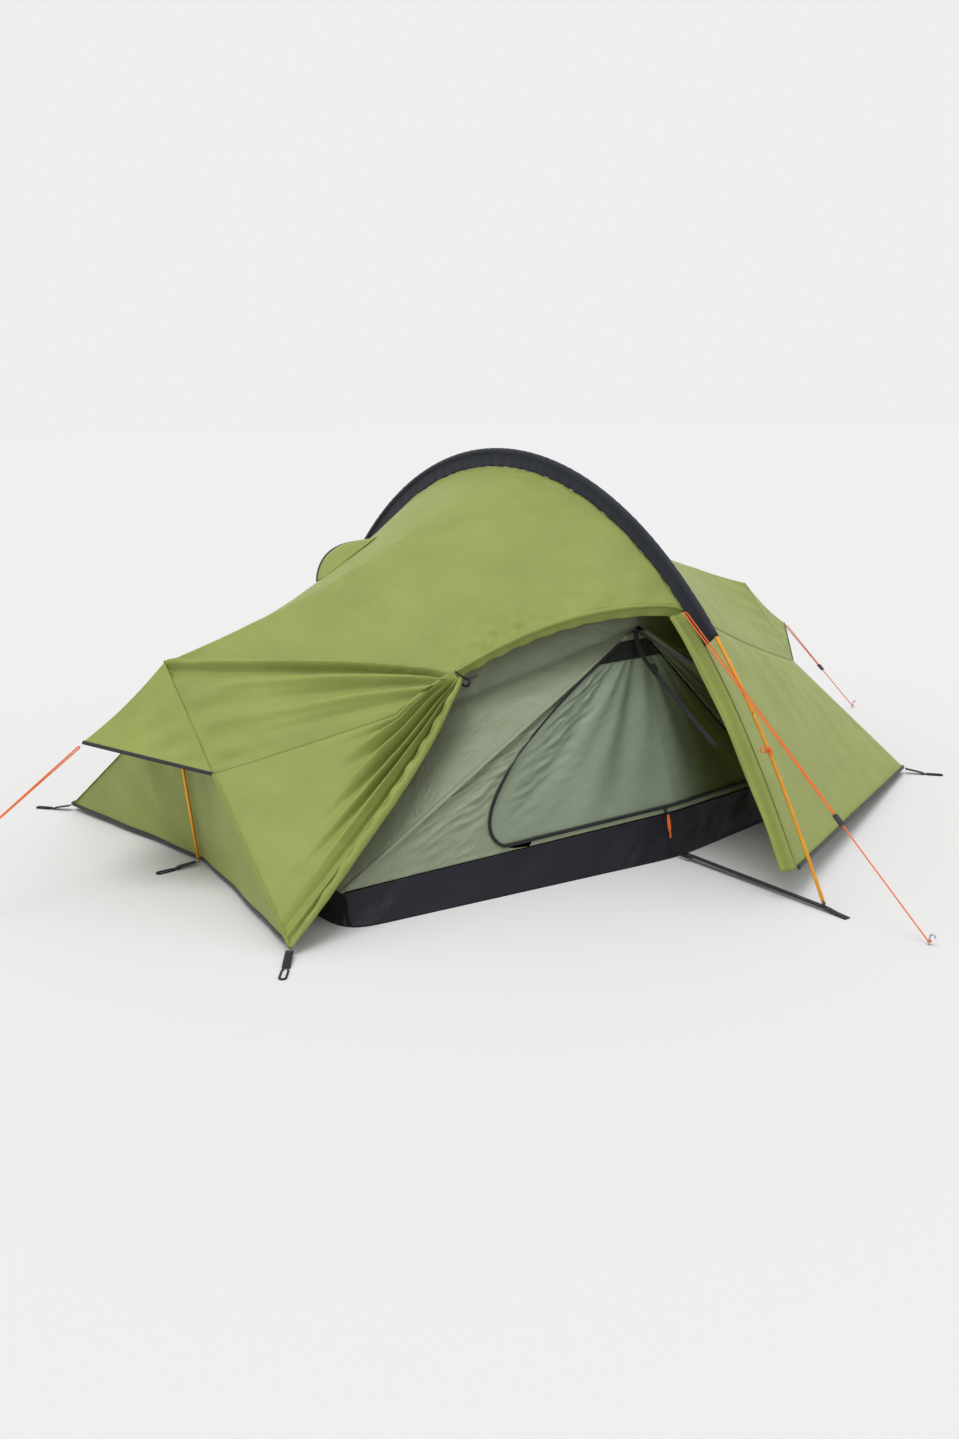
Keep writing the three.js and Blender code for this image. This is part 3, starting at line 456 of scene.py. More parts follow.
def fabric(name, colour, roughness, pitch, weave=0.15, creases=0.25, spread=0.08, sheen=0.15, ripstop=0.0,
           alpha=1.0, through=0.0, painted_shade_colour=None, painted_shade_from=0.0, painted_shade_to=1.0):
    """Woven cloth. pitch is the spacing of its threads in metres, ripstop its grid of thicker ones.

    The shade colour, when given, is painted shade: it takes over between the given start and end x in object
    space.
    """
    material, tree, shader = blank(name)
    place = add_node(tree, "ShaderNodeTexCoord")
    base = tinted(tree, place.outputs["UV"], colour, 5.0, spread)
    # Painted shade: blend towards the darker colour along the object's x.
    if painted_shade_colour:
        split = add_node(tree, "ShaderNodeSeparateXYZ")
        tree.links.new(place.outputs["Object"], split.inputs[0])
        share = add_node(tree, "ShaderNodeMapRange", interpolation_type="SMOOTHSTEP")
        share.inputs["From Min"].default_value = painted_shade_from
        share.inputs["From Max"].default_value = painted_shade_to
        tree.links.new(split.outputs["X"], share.inputs["Value"])
        both = add_node(tree, "ShaderNodeMixRGB")
        tree.links.new(share.outputs["Result"], both.inputs[0])
        tree.links.new(base, both.inputs[1])
        tree.links.new(tinted(tree, place.outputs["UV"], painted_shade_colour, 5.0, spread), both.inputs[2])
        base = both.outputs[0]
    shader.inputs["Specular IOR Level"].default_value = 0.25
    shader.inputs["Sheen Weight"].default_value = sheen
    shader.inputs["Sheen Roughness"].default_value = 0.45
    shader.inputs["Alpha"].default_value = alpha
    shader.inputs["Subsurface Weight"].default_value = through
    shader.inputs["Subsurface Radius"].default_value = (0.1, 0.1, 0.05)
    height = maths(tree, "MULTIPLY", *bands(tree, place.outputs["UV"], pitch))
    threads = add_node(tree, "ShaderNodeBump", Strength=weave, Distance=0.0003)
    tree.links.new(height, threads.inputs["Height"])
    crease = add_node(tree, "ShaderNodeTexNoise", Scale=9.0, Detail=5.0, Roughness=0.55, Distortion=0.8)
    tree.links.new(place.outputs["UV"], crease.inputs["Vector"])
    soft = add_node(tree, "ShaderNodeBump", Strength=creases, Distance=0.012)
    tree.links.new(crease.outputs["Fac"], soft.inputs["Height"])
    tree.links.new(threads.outputs["Normal"], soft.inputs["Normal"])
    tree.links.new(soft.outputs["Normal"], shader.inputs["Normal"])
    worn = add_node(tree, "ShaderNodeMapRange")
    worn.inputs["To Min"].default_value = max(0.05, roughness - 0.1)
    worn.inputs["To Max"].default_value = min(1, roughness + 0.1)
    tree.links.new(crease.outputs["Fac"], worn.inputs["Value"])
    tree.links.new(worn.outputs["Result"], shader.inputs["Roughness"])
    if ripstop:
        sharp = [maths(tree, "POWER", wave, 12.0) for wave in bands(tree, place.outputs["UV"], RIPSTOP_PITCH)]
        grid_lines = maths(tree, "MAXIMUM", *sharp)
        lines = add_node(tree, "ShaderNodeMixRGB", blend_type="MULTIPLY")
        lines.inputs[2].default_value = (1 - ripstop, 1 - ripstop, 1 - ripstop, 1)
        tree.links.new(grid_lines, lines.inputs[0])
        tree.links.new(base, lines.inputs[1])
        base = lines.outputs[0]
    tree.links.new(base, shader.inputs["Base Color"])
    return material


def hard(name, colour, roughness, metallic=0.0, grain=900.0, depth=0.05):
    """Moulded plastic or drawn alloy, with a fine grain and worn patches."""
    material, tree, shader = blank(name)
    place = add_node(tree, "ShaderNodeTexCoord")
    tree.links.new(tinted(tree, place.outputs["Object"], colour, 40.0, 0.1), shader.inputs["Base Color"])
    shader.inputs["Metallic"].default_value = metallic
    noise = add_node(tree, "ShaderNodeTexNoise", Scale=grain, Detail=3.0)
    tree.links.new(place.outputs["Object"], noise.inputs["Vector"])
    bump = add_node(tree, "ShaderNodeBump", Strength=depth, Distance=0.0002)
    tree.links.new(noise.outputs["Fac"], bump.inputs["Height"])
    tree.links.new(bump.outputs["Normal"], shader.inputs["Normal"])
    worn = add_node(tree, "ShaderNodeMapRange")
    worn.inputs["To Min"].default_value = max(0.05, roughness - 0.08)
    worn.inputs["To Max"].default_value = min(1, roughness + 0.12)
    tree.links.new(noise.outputs["Fac"], worn.inputs["Value"])
    tree.links.new(worn.outputs["Result"], shader.inputs["Roughness"])
    return material


FLY = fabric("fly_fabric", (0.248, 0.292, 0.070), 0.55, 0.0012, ripstop=0.08, sheen=0.03, through=0.3)
HEM = fabric("hem_binding", (0.030, 0.032, 0.034), 0.7, 0.0015, creases=0.1)
SEAM = fabric("seam_tape", (0.19, 0.26, 0.05), 0.6, 0.003, weave=0.8, creases=0.05)
SLEEVE = fabric("sleeve_fabric", (0.018, 0.021, 0.032), 0.7, 0.0016, creases=0.3, spread=0.15)
# Both inner fabrics carry painted shade: they turn dark olive towards +x, standing in for the shade and green
# light under the fly.
INNER = fabric("inner_fabric", (0.235, 0.265, 0.175), 0.42, 0.0010, creases=1.0, through=0.2, sheen=0.1,
               painted_shade_colour=(0.080, 0.098, 0.022), painted_shade_from=0.02, painted_shade_to=0.40)
INNER_DOOR = fabric("inner_door_fabric", (0.215, 0.265, 0.185), 0.38, 0.0010, creases=0.35, through=0.2,
                    sheen=0.1, painted_shade_colour=(0.080, 0.098, 0.022), painted_shade_from=0.02, painted_shade_to=0.20)
NET = fabric("mesh_fabric", (0.020, 0.024, 0.018), 0.9, 0.0022, weave=0.7, creases=0.1, alpha=0.8)
FLOOR = fabric("floor_fabric", (0.009, 0.011, 0.017), 0.42, 0.0012, creases=0.8, spread=0.2, sheen=0.05)
WEB = fabric("webbing", (0.018, 0.019, 0.022), 0.85, 0.0022, weave=0.9, creases=0.1, spread=0.2)
CORD = fabric("guyline_cord", (0.85, 0.16, 0.025), 0.7, 0.0020, weave=0.9, creases=0.05)
ELASTIC = hard("shock_cord", (0.03, 0.03, 0.03), 0.8, grain=1500.0, depth=0.3)
ALLOY = hard("pole_alloy", (0.78, 0.33, 0.035), 0.3, metallic=0.75, grain=300.0)
PLUG = hard("pole_plug", (0.03, 0.03, 0.034), 0.5)
PLASTIC = hard("buckle_plastic", (0.018, 0.018, 0.02), 0.42)
PEG = hard("peg_alloy", (0.5, 0.51, 0.53), 0.32, metallic=1.0)


# ---- Guylines, with their runners and pegs ----

GUYLINES = {
    "near": (at(-0.022, -0.802, 0.684), at(0.022, -1.554, 0.009), 0.66, at(1, 0, 0)),
    "right": (at(1.374, 0, 0.385), at(1.808, 0, 0.009), 0.5, at(0, 1, 0)),
    "left": (at(-1.374, 0, 0.385), at(-1.930, 0, 0.009), 0.5, at(0, 1, 0)),
}


def add_guyline(name, top, foot, share, side):
    """One strand runs from the tent through the runner to the peg, and one comes back to the runner."""
    runner = mix(top, foot, share)
    along = unit(foot - top)
    down = np.linspace(0, 1, 24)
    above = 0.006 + (0.0016 - 0.006) * down / share
    spread = np.where(down < share, above, 0.0016 * np.exp(-(down - share) * 20))
    line = mix(top, foot, down) + side * spread[:, None]
    curve = bpy.data.curves.new(f"guyline_{name}_main", "CURVE")
    curve.dimensions = "3D"
    curve.bevel_depth = CORD_RADIUS
    curve.bevel_resolution = 3
    curve.use_fill_caps = True
    spline = curve.splines.new("POLY")
    spline.points.add(len(line) - 1)
    for point, place in zip(spline.points, line):
        point.co = (*place, 1)
    main = bpy.data.objects.new(f"guyline_{name}_main", curve)
    bpy.context.scene.collection.objects.link(main)
    finish_piece(main, CORD, [f"guyline_{name}"])
    lean = unit(at(along[0], along[1], 0))
    stem = foot + lean * 0.0044
    hook = [(0, 0.0), (0, 0.009), (0, 0.016), (0.002, 0.024), (0.010, 0.027), (0.015, 0.020)]
    path = smooth_path([at(*(stem + lean * out)[:2], rise) for out, rise in hook], 30)
    peg = link(f"guy_peg_{name}_wire", *tube_parts(path, 0.00225))
    finish_piece(peg, PEG, [f"guy_peg_{name}"])
    angle = np.linspace(0, 2 * pi, 20, endpoint=False)
    ring = stem + 0.0044 * (np.cos(angle)[:, None] * lean + np.sin(angle)[:, None] * side)
    knot = link(f"peg_knot_{name}", *tube_parts(ring, 0.0014, 10, closed=True))
    finish_piece(knot, CORD)
    back = mix(top, runner, np.linspace(0, 1, 20)) - side * np.linspace(0.006, 0.0019, 20)[:, None]
    second = link(f"guyline_{name}_return", *tube_parts(back, CORD_RADIUS, 12))
    second.data.materials.append(CORD)
    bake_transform(second)
    bight = top + side * np.linspace(-0.006, 0.006, 12)[:, None]
    bight -= along * (0.004 * np.cos(np.linspace(-pi / 2, pi / 2, 12)))[:, None]
    loop_piece = link(f"guyline_{name}_bight", *tube_parts(bight, CORD_RADIUS, 12))
    finish_piece(loop_piece, CORD)


# ---- The flysheet ----

def bump_at(x, centre, width):
    return np.exp(-(((x - centre) / width) ** 2))


def smooth_step(x, low, high):
    x = np.clip((x - low) / (high - low), 0, 1)
    return x * x * (3 - 2 * x)


def crumple(x, y):
    """Sharp, scattered creases between -1 and 1, about a tenth of a metre apart."""
    total = 0
    waves = ((31, 17, 0.3), (-23, 41, 1.9), (47, -29, 4.2), (13, 71, 0.8), (-58, 49, 2.7))
    for along, across, start in waves:
        bend = 1.3 * np.sin(0.37 * across * x - 0.41 * along * y + 2 * start)
        total = total + 1 - 2 * np.abs(np.sin(0.5 * (along * x + across * y + start + bend)))
    return total / len(waves)


def fly_relief(w, t):
    """Outward relief of the taut fly: drag lines, ripples beside the sleeve and soft creases."""
    beside = np.exp(-t / 0.10)
    ripples = 0.0034 * beside * np.sin(w * 46 + 3 * np.sin(w * 5))
    ripples = ripples * (0.35 + 0.65 * bump_at(np.abs(w), 1.1, 0.5))
    drag = 0.0035 * np.sin(9 * t + 7 * np.abs(w)) * np.sin(pi * np.clip(t, 0, 1)) ** 2
    wide = 0.005 * np.sin(5.2 * w + 2.0 * t) * np.sin(pi * np.clip(t, 0, 1))
    end = 0.004 * np.exp(-(1 - t) / 0.12) * np.sin(w * 28) * smooth_step(1 - t, 0.0, 0.05)
    soft = 0.0022 * crumple(0.75 * t, 0.45 * w) * np.sin(pi * np.clip(t, 0, 1))
    return ripples + drag + wide + end + soft


def wall_relief(w, t):
    """Folds that hang down a wall from its top seam."""
    down = np.abs(w) - 1
    hang = 0.005 * np.sin(2 * pi * 7.5 * t + 4 * down + 1.2 * np.sin(9 * t)) * np.exp(-down / 0.45)
    return hang * smooth_step(down, 0, 0.08) * np.sin(pi * np.clip(t, 0, 1)) ** 0.5


def doorway_relief(w, t):
    """The left roof's creases: sharp ones from the tie-back, and short ones over the doorway."""
    beyond = np.clip((t - TIE_POINT_SHARE) / (1 - TIE_POINT_SHARE), 0, 1)
    relief = 0 * w
    for start, reach, height, width, lasting in (
        (-0.915, 0.915, 0.015, 0.034, 1), (-0.93, 0.86, -0.024, 0.060, 1), (-0.945, 0.70, 0.014, 0.050, 0),
        (-0.955, 0.52, -0.014, 0.055, 0), (-0.965, 0.37, 0.012, 0.050, 0), (-0.98, 0.20, -0.009, 0.045, 0),
    ):
        line = start + reach * beyond
        spread = width * (0.30 + 0.70 * beyond)
        fade = smooth_step(beyond, 0.0, 0.08) * (1 - (0.9 - 0.5 * lasting) * smooth_step(beyond, 0.35, 0.95))
        relief = relief + height * bump_at(w, line, spread) * fade
    edge = -1 + door_arch(t)
    above = np.clip(w - edge, 0, None)
    within = np.clip(np.sin(pi * np.clip(t / 0.56, 0, 1)), 0, 1)
    over = np.exp(-above / 0.13) * smooth_step(above, 0, 0.035) * within
    slant = 0.006 * np.sin(2 * pi * (13 * t + 5 * above) + 2 * np.sin(17 * t))
    puckers = 0.007 * crumple(2.6 * t, 1.9 * above)
    return relief + (slant + puckers) * over


def push_out(p, amount, inside=(0, 0, 0.25)):
    normal = grid_normals(p)
    towards = np.asarray(inside, float) - p.reshape(-1, 3).mean(0)
    outwards = -1 if (normal.reshape(-1, 3).mean(0) @ towards) > 0 else 1
    return p + normal * outwards * amount[..., None]


def add_fly():
    halves = (
        (LEFT, "left", (2,), ["fly_roof_left", "fly_wall_far_left"]),
        (RIGHT, "right", (-2, 2), ["fly_roof_right", "fly_wall_near_right", "fly_wall_far_right"]),
    )
    for side, name, ends, nodes in halves:
        step, t = grid(np.linspace(0, 1, 260), np.linspace(0, 1, 180))
        start = -1 + door_arch(t) if side == LEFT else -2 + 0 * t
        w = start + (2 - start) * step
        fold = np.abs(np.abs(w) - 1) < 0.006
        w = np.where(fold, np.sign(w), w)
        p = fly_point(side, w, 0.0015 + 0.9985 * t)
        fade = np.clip((2 - np.abs(w)) / 0.2, 0.2, 1) * np.clip(np.abs(np.abs(w) - 1) / 0.08, 0, 1)
        relief = fly_relief(w, t) * fade + np.where(np.abs(w) > 1, wall_relief(w, t), 0)
        if side == LEFT:
            relief = relief + doorway_relief(w, t)
        relief = relief * np.where(w < -1, smooth_step(t, 0, 0.07), 1)
        p = push_out(p, relief - 0.001)
        p[..., 2] = np.maximum(p[..., 2], 0.004)
        cloth(f"fly_{name}_cloth", p, FLY, nodes)
        add_fly_edges(side, name, ends)
        if side == LEFT:
            add_doorway_hem(p[0])


def add_fly_edges(side, name, ends):
    """Tape down the seams at w = -1 and 1, and binding along the hems at w = -2 and 2."""
    seams, hems = [], []
    for end in ends:
        seam = end / 2
        line = fly_point(side, seam, np.linspace(0.004, 0.996, 60)[None])[0] + at(0, 0, 0.0004)
        lift = unit(line * at(0, 1, 0.6)) * 0.0010
        seams.append(ribbon_parts(line + lift, 0.009, 0.0010, at(0, 0.55 * seam, -0.83)))
        line = fly_point(side, end, np.linspace(0.002, 1, 60)[None])[0] + at(0, 0, 0.003)
        hems.append(ribbon_parts(line, 0.012, 0.0022, at(0, 0.3 * seam, -0.95)))
    finish_piece(link(f"seam_tape_{name}", *merge(seams)), SEAM)
    finish_piece(link(f"hem_binding_{name}", *merge(hems)), HEM)


def add_doorway_hem(edge):
    """The doorway's top edge: a rolled hem with a facing behind it, gathered towards the tie-back."""
    share = np.linspace(0, 1, len(edge))
    kept = share < TIE_POINT_SHARE + 0.02
    line, share = edge[kept], share[kept]
    thick = 0.0030 + 0.0045 * np.sin(pi * np.clip(share / TIE_POINT_SHARE, 0, 1)) ** 0.7
    thick *= 1 + 0.08 * np.sin(150 * share) * np.sin(61 * share)
    line = line + at(0, 0.35, -0.5) * thick[:, None]
    roll = tube_parts(line, thick, 14)
    finish_piece(link("doorway_hem", *roll), FLY)
    depth = np.linspace(0, 1, 10)[None, :, None]
    ripple = 0.004 * np.sin(120 * share)[:, None, None] * depth
    facing = line[:, None] + at(0.05, 0.30, -0.95) * 0.030 * depth + at(0, 1, 0) * ripple
    cloth("doorway_facing", facing, FLY, [])


def door_outline():
    tie = roof_point(LEFT, -1 + door_arch(TIE_POINT_SHARE) - 0.03, TIE_POINT_SHARE)
    return tie, corner(HOOD_CORNER, LEFT, NEAR), corner(HEM_CORNER, LEFT, NEAR)


# Folds of the drawn-back door: (place from its top edge to its free edge, width, height in metres).
DOOR_FOLDS = (
    (0.10, 0.06, -0.010), (0.22, 0.06, 0.013), (0.34, 0.08, -0.017), (0.47, 0.06, 0.018),
    (0.57, 0.05, -0.016), (0.66, 0.045, 0.015), (0.74, 0.03, -0.013), (0.81, 0.03, 0.014),
    (0.87, 0.022, -0.012), (0.92, 0.018, 0.012), (0.965, 0.014, -0.009),
)


def add_door():
    """The door fans out from where it is tied, and its free edge is rolled into a bundle."""
    tie, seam_top, foot = door_outline()
    a, r = grid(np.linspace(0, 1, 220), np.linspace(0.012, 1, 140))
    outer = mix(seam_top, foot, a**0.8)
    p = mix(tie, outer, r)
    bulge = at(0.030, -0.022, 0)
    p = p + bulge * (a**3 * np.sin(pi * r**0.7))[..., None]
    t = TIE_POINT_SHARE + (1 - TIE_POINT_SHARE) * r[0]
    top = roof_point(LEFT, -1 + door_arch(t) + 0.012, t)
    lift = top - mix(tie, seam_top, r[0])
    p = p + lift[None] * ((1 - a) ** 2)[..., None]
    relief = 0
    for place, width, height in DOOR_FOLDS:
        reach = 0.62 + 0.38 * smooth_step(place, 0.3, 0.9)
        fade = 1 - smooth_step(r, 0.45 * reach, reach * 1.02) * (1 - 0.35 * smooth_step(place, 0.6, 1.0))
        spread = width * (0.55 + 0.75 * r)
        relief = relief + height * bump_at(a, place + 0.02 * np.sin(3 * r + 20 * place), spread) * fade
    relief = 1.35 * relief * smooth_step(r, 0.0, 0.16) * smooth_step(a, 0.0, 0.10)
    relief = relief + 0.0022 * crumple(0.6 * a, 0.7 * r) * smooth_step(a, 0.05, 0.3) * np.sin(pi * r)
    relief = relief + 0.0016 * np.sin(46 * a + 6 * r) * np.sin(pi * r) * smooth_step(a, 0.1, 0.3) * (1 - r)
    p = push_out(p, relief - 0.0022)
    edge = p[-1]
    along = unit(np.gradient(edge, axis=0))
    inwards = unit(np.cross(along, np.cross(unit(p[-3] - p[-1]), along)))
    behind = unit(np.cross(along, inwards))
    behind *= np.sign(behind[:, 1:2].mean()) or 1
    turn = np.linspace(0, 1.6 * pi, 22)[1:, None, None]
    size = (0.004 + 0.010 * np.sin(pi * r[0]) ** 0.6)[None, :, None] * (1 - 0.25 * turn / (1.6 * pi))
    size = size * (1 + 0.12 * np.sin(70 * r[0]))[None, :, None]
    roll = edge[None] + behind[None] * size * (1 - np.cos(turn)) - inwards[None] * size * np.sin(turn)
    p = np.concatenate([p, roll])
    p[..., 2] = np.maximum(p[..., 2], 0.006)
    cloth("fly_door_cloth", p, FLY, ["fly_door"])
    line = mix(seam_top, foot, np.linspace(0, 1, 30)) + at(-0.0015, -0.0015, 0.001)
    hem = ribbon_parts(line, 0.008, 0.0014, at(0.5, -0.6, 0.3))
    finish_piece(link("door_seam_tape", *hem), SEAM)
    around = [at(-0.012, 0.004, 0.012), at(-0.01, -0.026, 0.002), at(0.008, -0.032, -0.01),
              at(0.012, -0.012, -0.028), at(0.002, 0.006, -0.02)]
    loop = smooth_path([tie + place for place in around], 30)
    band = link("tie_back_band", *ribbon_parts(loop, 0.008, 0.0016, at(0.3, 0, -1)))
    finish_piece(band, WEB)


def add_storm_flap():
    v = np.linspace(0.01, 1, 90)[None, :]
    for name, reach, lift in (("outer", 0.042, 0.0), ("under", 0.034, -0.004)):
        out = (0.0026 + (reach - 0.0026) * np.linspace(0, 1, 20))[:, None] / HEM_CORNER[0]
        p = wall_point(LEFT, NEAR, v, out)
        across = np.linspace(0, 1, 20)[:, None]
        ridges = np.sin(2 * pi * (1.6 * across + 0.1 * np.sin(5 * v)))
        curl = 0.004 * across**2 * np.sin(v * 17) + 0.004 * ridges
        p = push_out(p, curl * smooth_step(across, 0, 0.3) + lift)
        nodes = ["fly_storm_flap"] if not lift else []
        cloth(f"storm_flap_{name}", p, FLY, nodes)


def add_ends():
    for side, name in ((LEFT, "left"), (RIGHT, "right")):
        foot = at(side * (END_FOOT_X - END_PANEL_SET_BACK), 0, 0.008)
        top = at(side * (PEAK[0] - END_PANEL_SET_BACK), 0, PEAK[2] - 0.026)
        u, down = grid(np.linspace(-1, 1, 81), 0.03 + 0.97 * np.linspace(0, 1, 60))
        share, across = np.abs(u), np.where(u < 0, NEAR, FAR)
        pole = mix(foot, top, 1 - down)
        mid, low = corner(HOOD_CORNER, side, across), corner(HEM_CORNER, side, across)
        seam = bent_edge(corner(PEAK, side, 0), mid, low, 0.42, down)
        seam = seam + at(-side * 0.004, 0, -0.002)
        p = mix(pole, seam, share)
        waves = 0.006 * np.sin(7 * down + 3 * share) + 0.003 * np.sin(15 * share + 9 * down)
        hang = np.sin(pi * share) * waves
        p[..., 0] -= side * np.abs(hang) * 0.8
        p[..., 2] = np.maximum(p[..., 2], 0.005)
        cloth(f"fly_end_{name}_cloth", p, FLY, [f"fly_end_{name}"],
              inside=(0, 0, 0.2))
        hem = p[:, -1] + at(side * 0.001, 0, 0.003)
        binding = ribbon_parts(hem, 0.012, 0.0022, at(0, 0, 1))
        finish_piece(link(f"end_hem_{name}", *binding), HEM)


def add_hoods():
    for side, name in ((LEFT, "left"), (RIGHT, "right")):
        u, out = grid(np.linspace(-1, 1, 61), np.linspace(0.004, 1, 36))
        share, across = np.abs(u), np.where(u < 0, NEAR, FAR)
        mid = corner(HOOD_CORNER, side, across)
        inner = mix(corner(PEAK, side, 0), mid, share)
        outer = mix(corner(HOOD_TIP, side, 0), mid, share * 0.995)
        p = mix(inner, outer, out)
        p[..., 2] -= 0.012 * np.sin(pi * out) * (1 - share)
        p = push_out(p, 0.0022 * np.sin(26 * share + 4 * out) * np.sin(pi * out) * np.sin(pi * share))
        cloth(f"hood_{name}_cloth", p, FLY, [f"fly_hood_{name}"], inside=(0, 0, 0.1))
        edge = p[:, -1]
        rim = ribbon_parts(edge, 0.010, 0.0024, at(side * 0.5, 0, -0.8))
        finish_piece(link(f"hood_binding_{name}", *rim), HEM)


def add_cowl():
    along_roof, up_roof, rise = 0.095, 0.13, 0.046
    span, v = grid(np.linspace(-1, 1, 41), np.linspace(0, 1, 24))
    t = 0.37 + along_roof * span
    s = 0.46 - up_roof + up_roof * v * np.sqrt(1 - 0.6 * span**2)
    hoop = (1 - span**2) * np.sin((pi / 2) * np.minimum(1, v * 1.15))
    p = roof_point(LEFT, s, t) + at(-0.28, 0.42, 0.86) * (0.002 + rise * hoop)[..., None]
    cloth("cowl_cloth", p, FLY, ["vent_cowl"])
    rim = link("cowl_rim", *ribbon_parts(p[:, -1], 0.009, 0.0026, at(0.3, -0.6, -0.7)))
    finish_piece(rim, HEM)


def add_sleeve():
    """A round channel for the pole with a flat fin down to the fly, gathered a little along its length."""
    run = np.linspace(SLEEVE_ARC, ARCH_LENGTH - SLEEVE_ARC, 160)
    centre = arch_point(run)
    inwards = unit(arch_point(run, 0.01) - centre)
    angle = np.linspace(-pi / 2 + 0.17, 1.5 * pi - 0.17, 25)
    radius = 0.0082 + 0.0006 * np.sin(run * 210) * np.sin(run * 37)
    channel = [centre + at(1, 0, 0) * np.cos(a) * radius[:, None] - inwards * (np.sin(a) * radius)[:, None]
               for a in angle]
    ruffle = 0.0016 * np.sin(run * 140 + 2 * np.sin(run * 23))
    fins = []
    for depth in np.linspace(0.012, SLEEVE_DEPTH + 0.002, 7):
        sway = ruffle * (depth / SLEEVE_DEPTH)
        fins.append(centre + inwards * depth + at(1, 0, 0) * sway[:, None])
    right = [p + at(0.0012, 0, 0) for p in fins[::-1]]
    left = [p - at(0.0012, 0, 0) for p in fins]
    p = np.array(right + channel + left)
    cloth("sleeve_cloth", p, SLEEVE, ["pole_sleeve"], inside=(3, 0, 0.5), thickness=0.0006)


# ---- The inner tent ----

def add_groundsheet():
    base, rim = [], []
    for x, y in ((-1, -1), (0, -1), (1, -1), (1, 1), (0, 1), (-1, 1)):
        base.append(corner(FLOOR_CORNER, x, y) if x else at(0, y * FLOOR_SIDE_Y, 0))
        rim.append(corner(TUB_CORNER, x, y) if x else corner(TUB_SIDE, 1, y))
    base, rim = np.array(base + base[:1]), np.array(rim + rim[:1])
    edges = 60
    place = np.concatenate([np.linspace(i, i + 1, edges, endpoint=False) for i in range(6)] + [[6]])
    i = np.minimum(place.astype(int), 5)
    low = mix(base[i], base[i + 1], place - i)
    high = mix(rim[i], rim[i + 1], place - i)
    window = np.hanning(17) / np.hanning(17).sum()
    low[:-1] = np.stack([np.convolve(np.tile(low[:-1, k], 3), window, "same")[len(low) - 1:2 * len(low) - 2]
                         for k in range(3)], -1)
    low[-1] = low[0]
    rise = np.linspace(0, 1, 22)[None, :]
    wall = mix(low[:, None], high[:, None], rise)
    out = unit(low * at(1, 1, 0))[:, None]
    around = (place * (pi / 3))[:, None]
    creases = crumple(0.6 * np.cos(around) + 0.03 * rise, 0.6 * np.sin(around) - 0.05 * rise)
    sag = 0.016 * np.sin(pi * rise) ** 0.6 * creases
    wall = wall + out * sag[..., None]
    inward = np.linspace(0, 1, 40)[None, :]
    floor = mix(low[:, None], at(0, 0, 0), inward)
    floor[..., 2] = 0.0006 + 0.0022 * np.abs(np.sin(place * 17)[:, None] * np.sin(6 * inward)) * (1 - inward)
    p = np.concatenate([wall[:, ::-1], floor[:, 1:-1]], 1)
    cloth("groundsheet_cloth", p, FLOOR, ["groundsheet"], inside=(0, 0, -2),
          thickness=0.0006)


def door_left(rise):
    """The zip's curved line: the left edge of the inner door, as a share of the wall's half-width."""
    return -(0.47 + 0.53 * np.asarray(rise, float) ** 0.5)


def wall_folds(share, rise):
    """Long hanging folds, with sharper creases left of the zip."""
    drape = np.sin(pi * np.clip(rise, 0, 1)) ** 0.6
    soft = 0.009 * np.sin(15 * share + 1.5 * rise) + 0.005 * np.sin(34 * share - 3 * rise)
    loose = smooth_step(-np.asarray(share), 0.35, 0.7)
    creases = (0.0008 + 0.0085 * loose) * crumple(1.3 * share, 1.5 * rise)
    return drape * (soft * (1 - 0.6 * loose) + creases)


def door_right(rise):
    """The inner door's hinge edge stops DOOR_GAP short of the wall."""
    return DOOR_RIGHT - DOOR_GAP / (TUB_CORNER[0] * (1 - np.asarray(rise, float)))


def inner_grid(across, left, right, low, high, columns, rows, lift=0.0):
    step, rise = grid(np.linspace(0, 1, columns), np.linspace(low, high, rows))
    left = left(rise) if callable(left) else left + 0 * rise
    right = right(rise) if callable(right) else right + 0 * rise
    share = left + (right - left) * step
    p = inner_wall_point(across, share, rise)
    relief = wall_folds(share, rise) * smooth_step(step, 0, 0.12) * smooth_step(1 - step, 0, 0.12) + lift
    normal = unit(at(0, across, 0.3))
    return p + normal * relief[..., None]


def add_inner_walls():
    beside = inner_grid(NEAR, -1.0, door_left, 0.0, WALL_TOP, 110, 120)
    right = inner_grid(NEAR, DOOR_RIGHT, 1.0, 0.0, WALL_TOP, 50, 80)
    sill = inner_grid(NEAR, -0.47, DOOR_RIGHT, 0.0, DOOR_SILL, 50, 6)
    head = inner_grid(NEAR, door_left, DOOR_RIGHT, DOOR_TOP, WALL_TOP, 20, 6)
    for across, name in ((NEAR, "near"), (FAR, "far")):
        parts = []
        for end in (-1.0, 1.0):
            line = inner_wall_point(across, end, np.linspace(0.0, WALL_TOP, 40))
            line = line + at(0, across * 0.002, 0.002)
            parts.append(ribbon_parts(line, 0.010, 0.0012, at(0, 0.75, across * -0.65)))
        finish_piece(link(f"inner_seam_{name}", *merge(parts)), INNER)
    near = [beside, right, sill, head]
    cloth("inner_wall_near_cloth", near, INNER, ["inner_wall_near"])
    far = inner_grid(FAR, -1.0, 1.0, 0.0, WALL_TOP, 120, 60)
    cloth("inner_wall_far_cloth", far, INNER, ["inner_wall_far"])


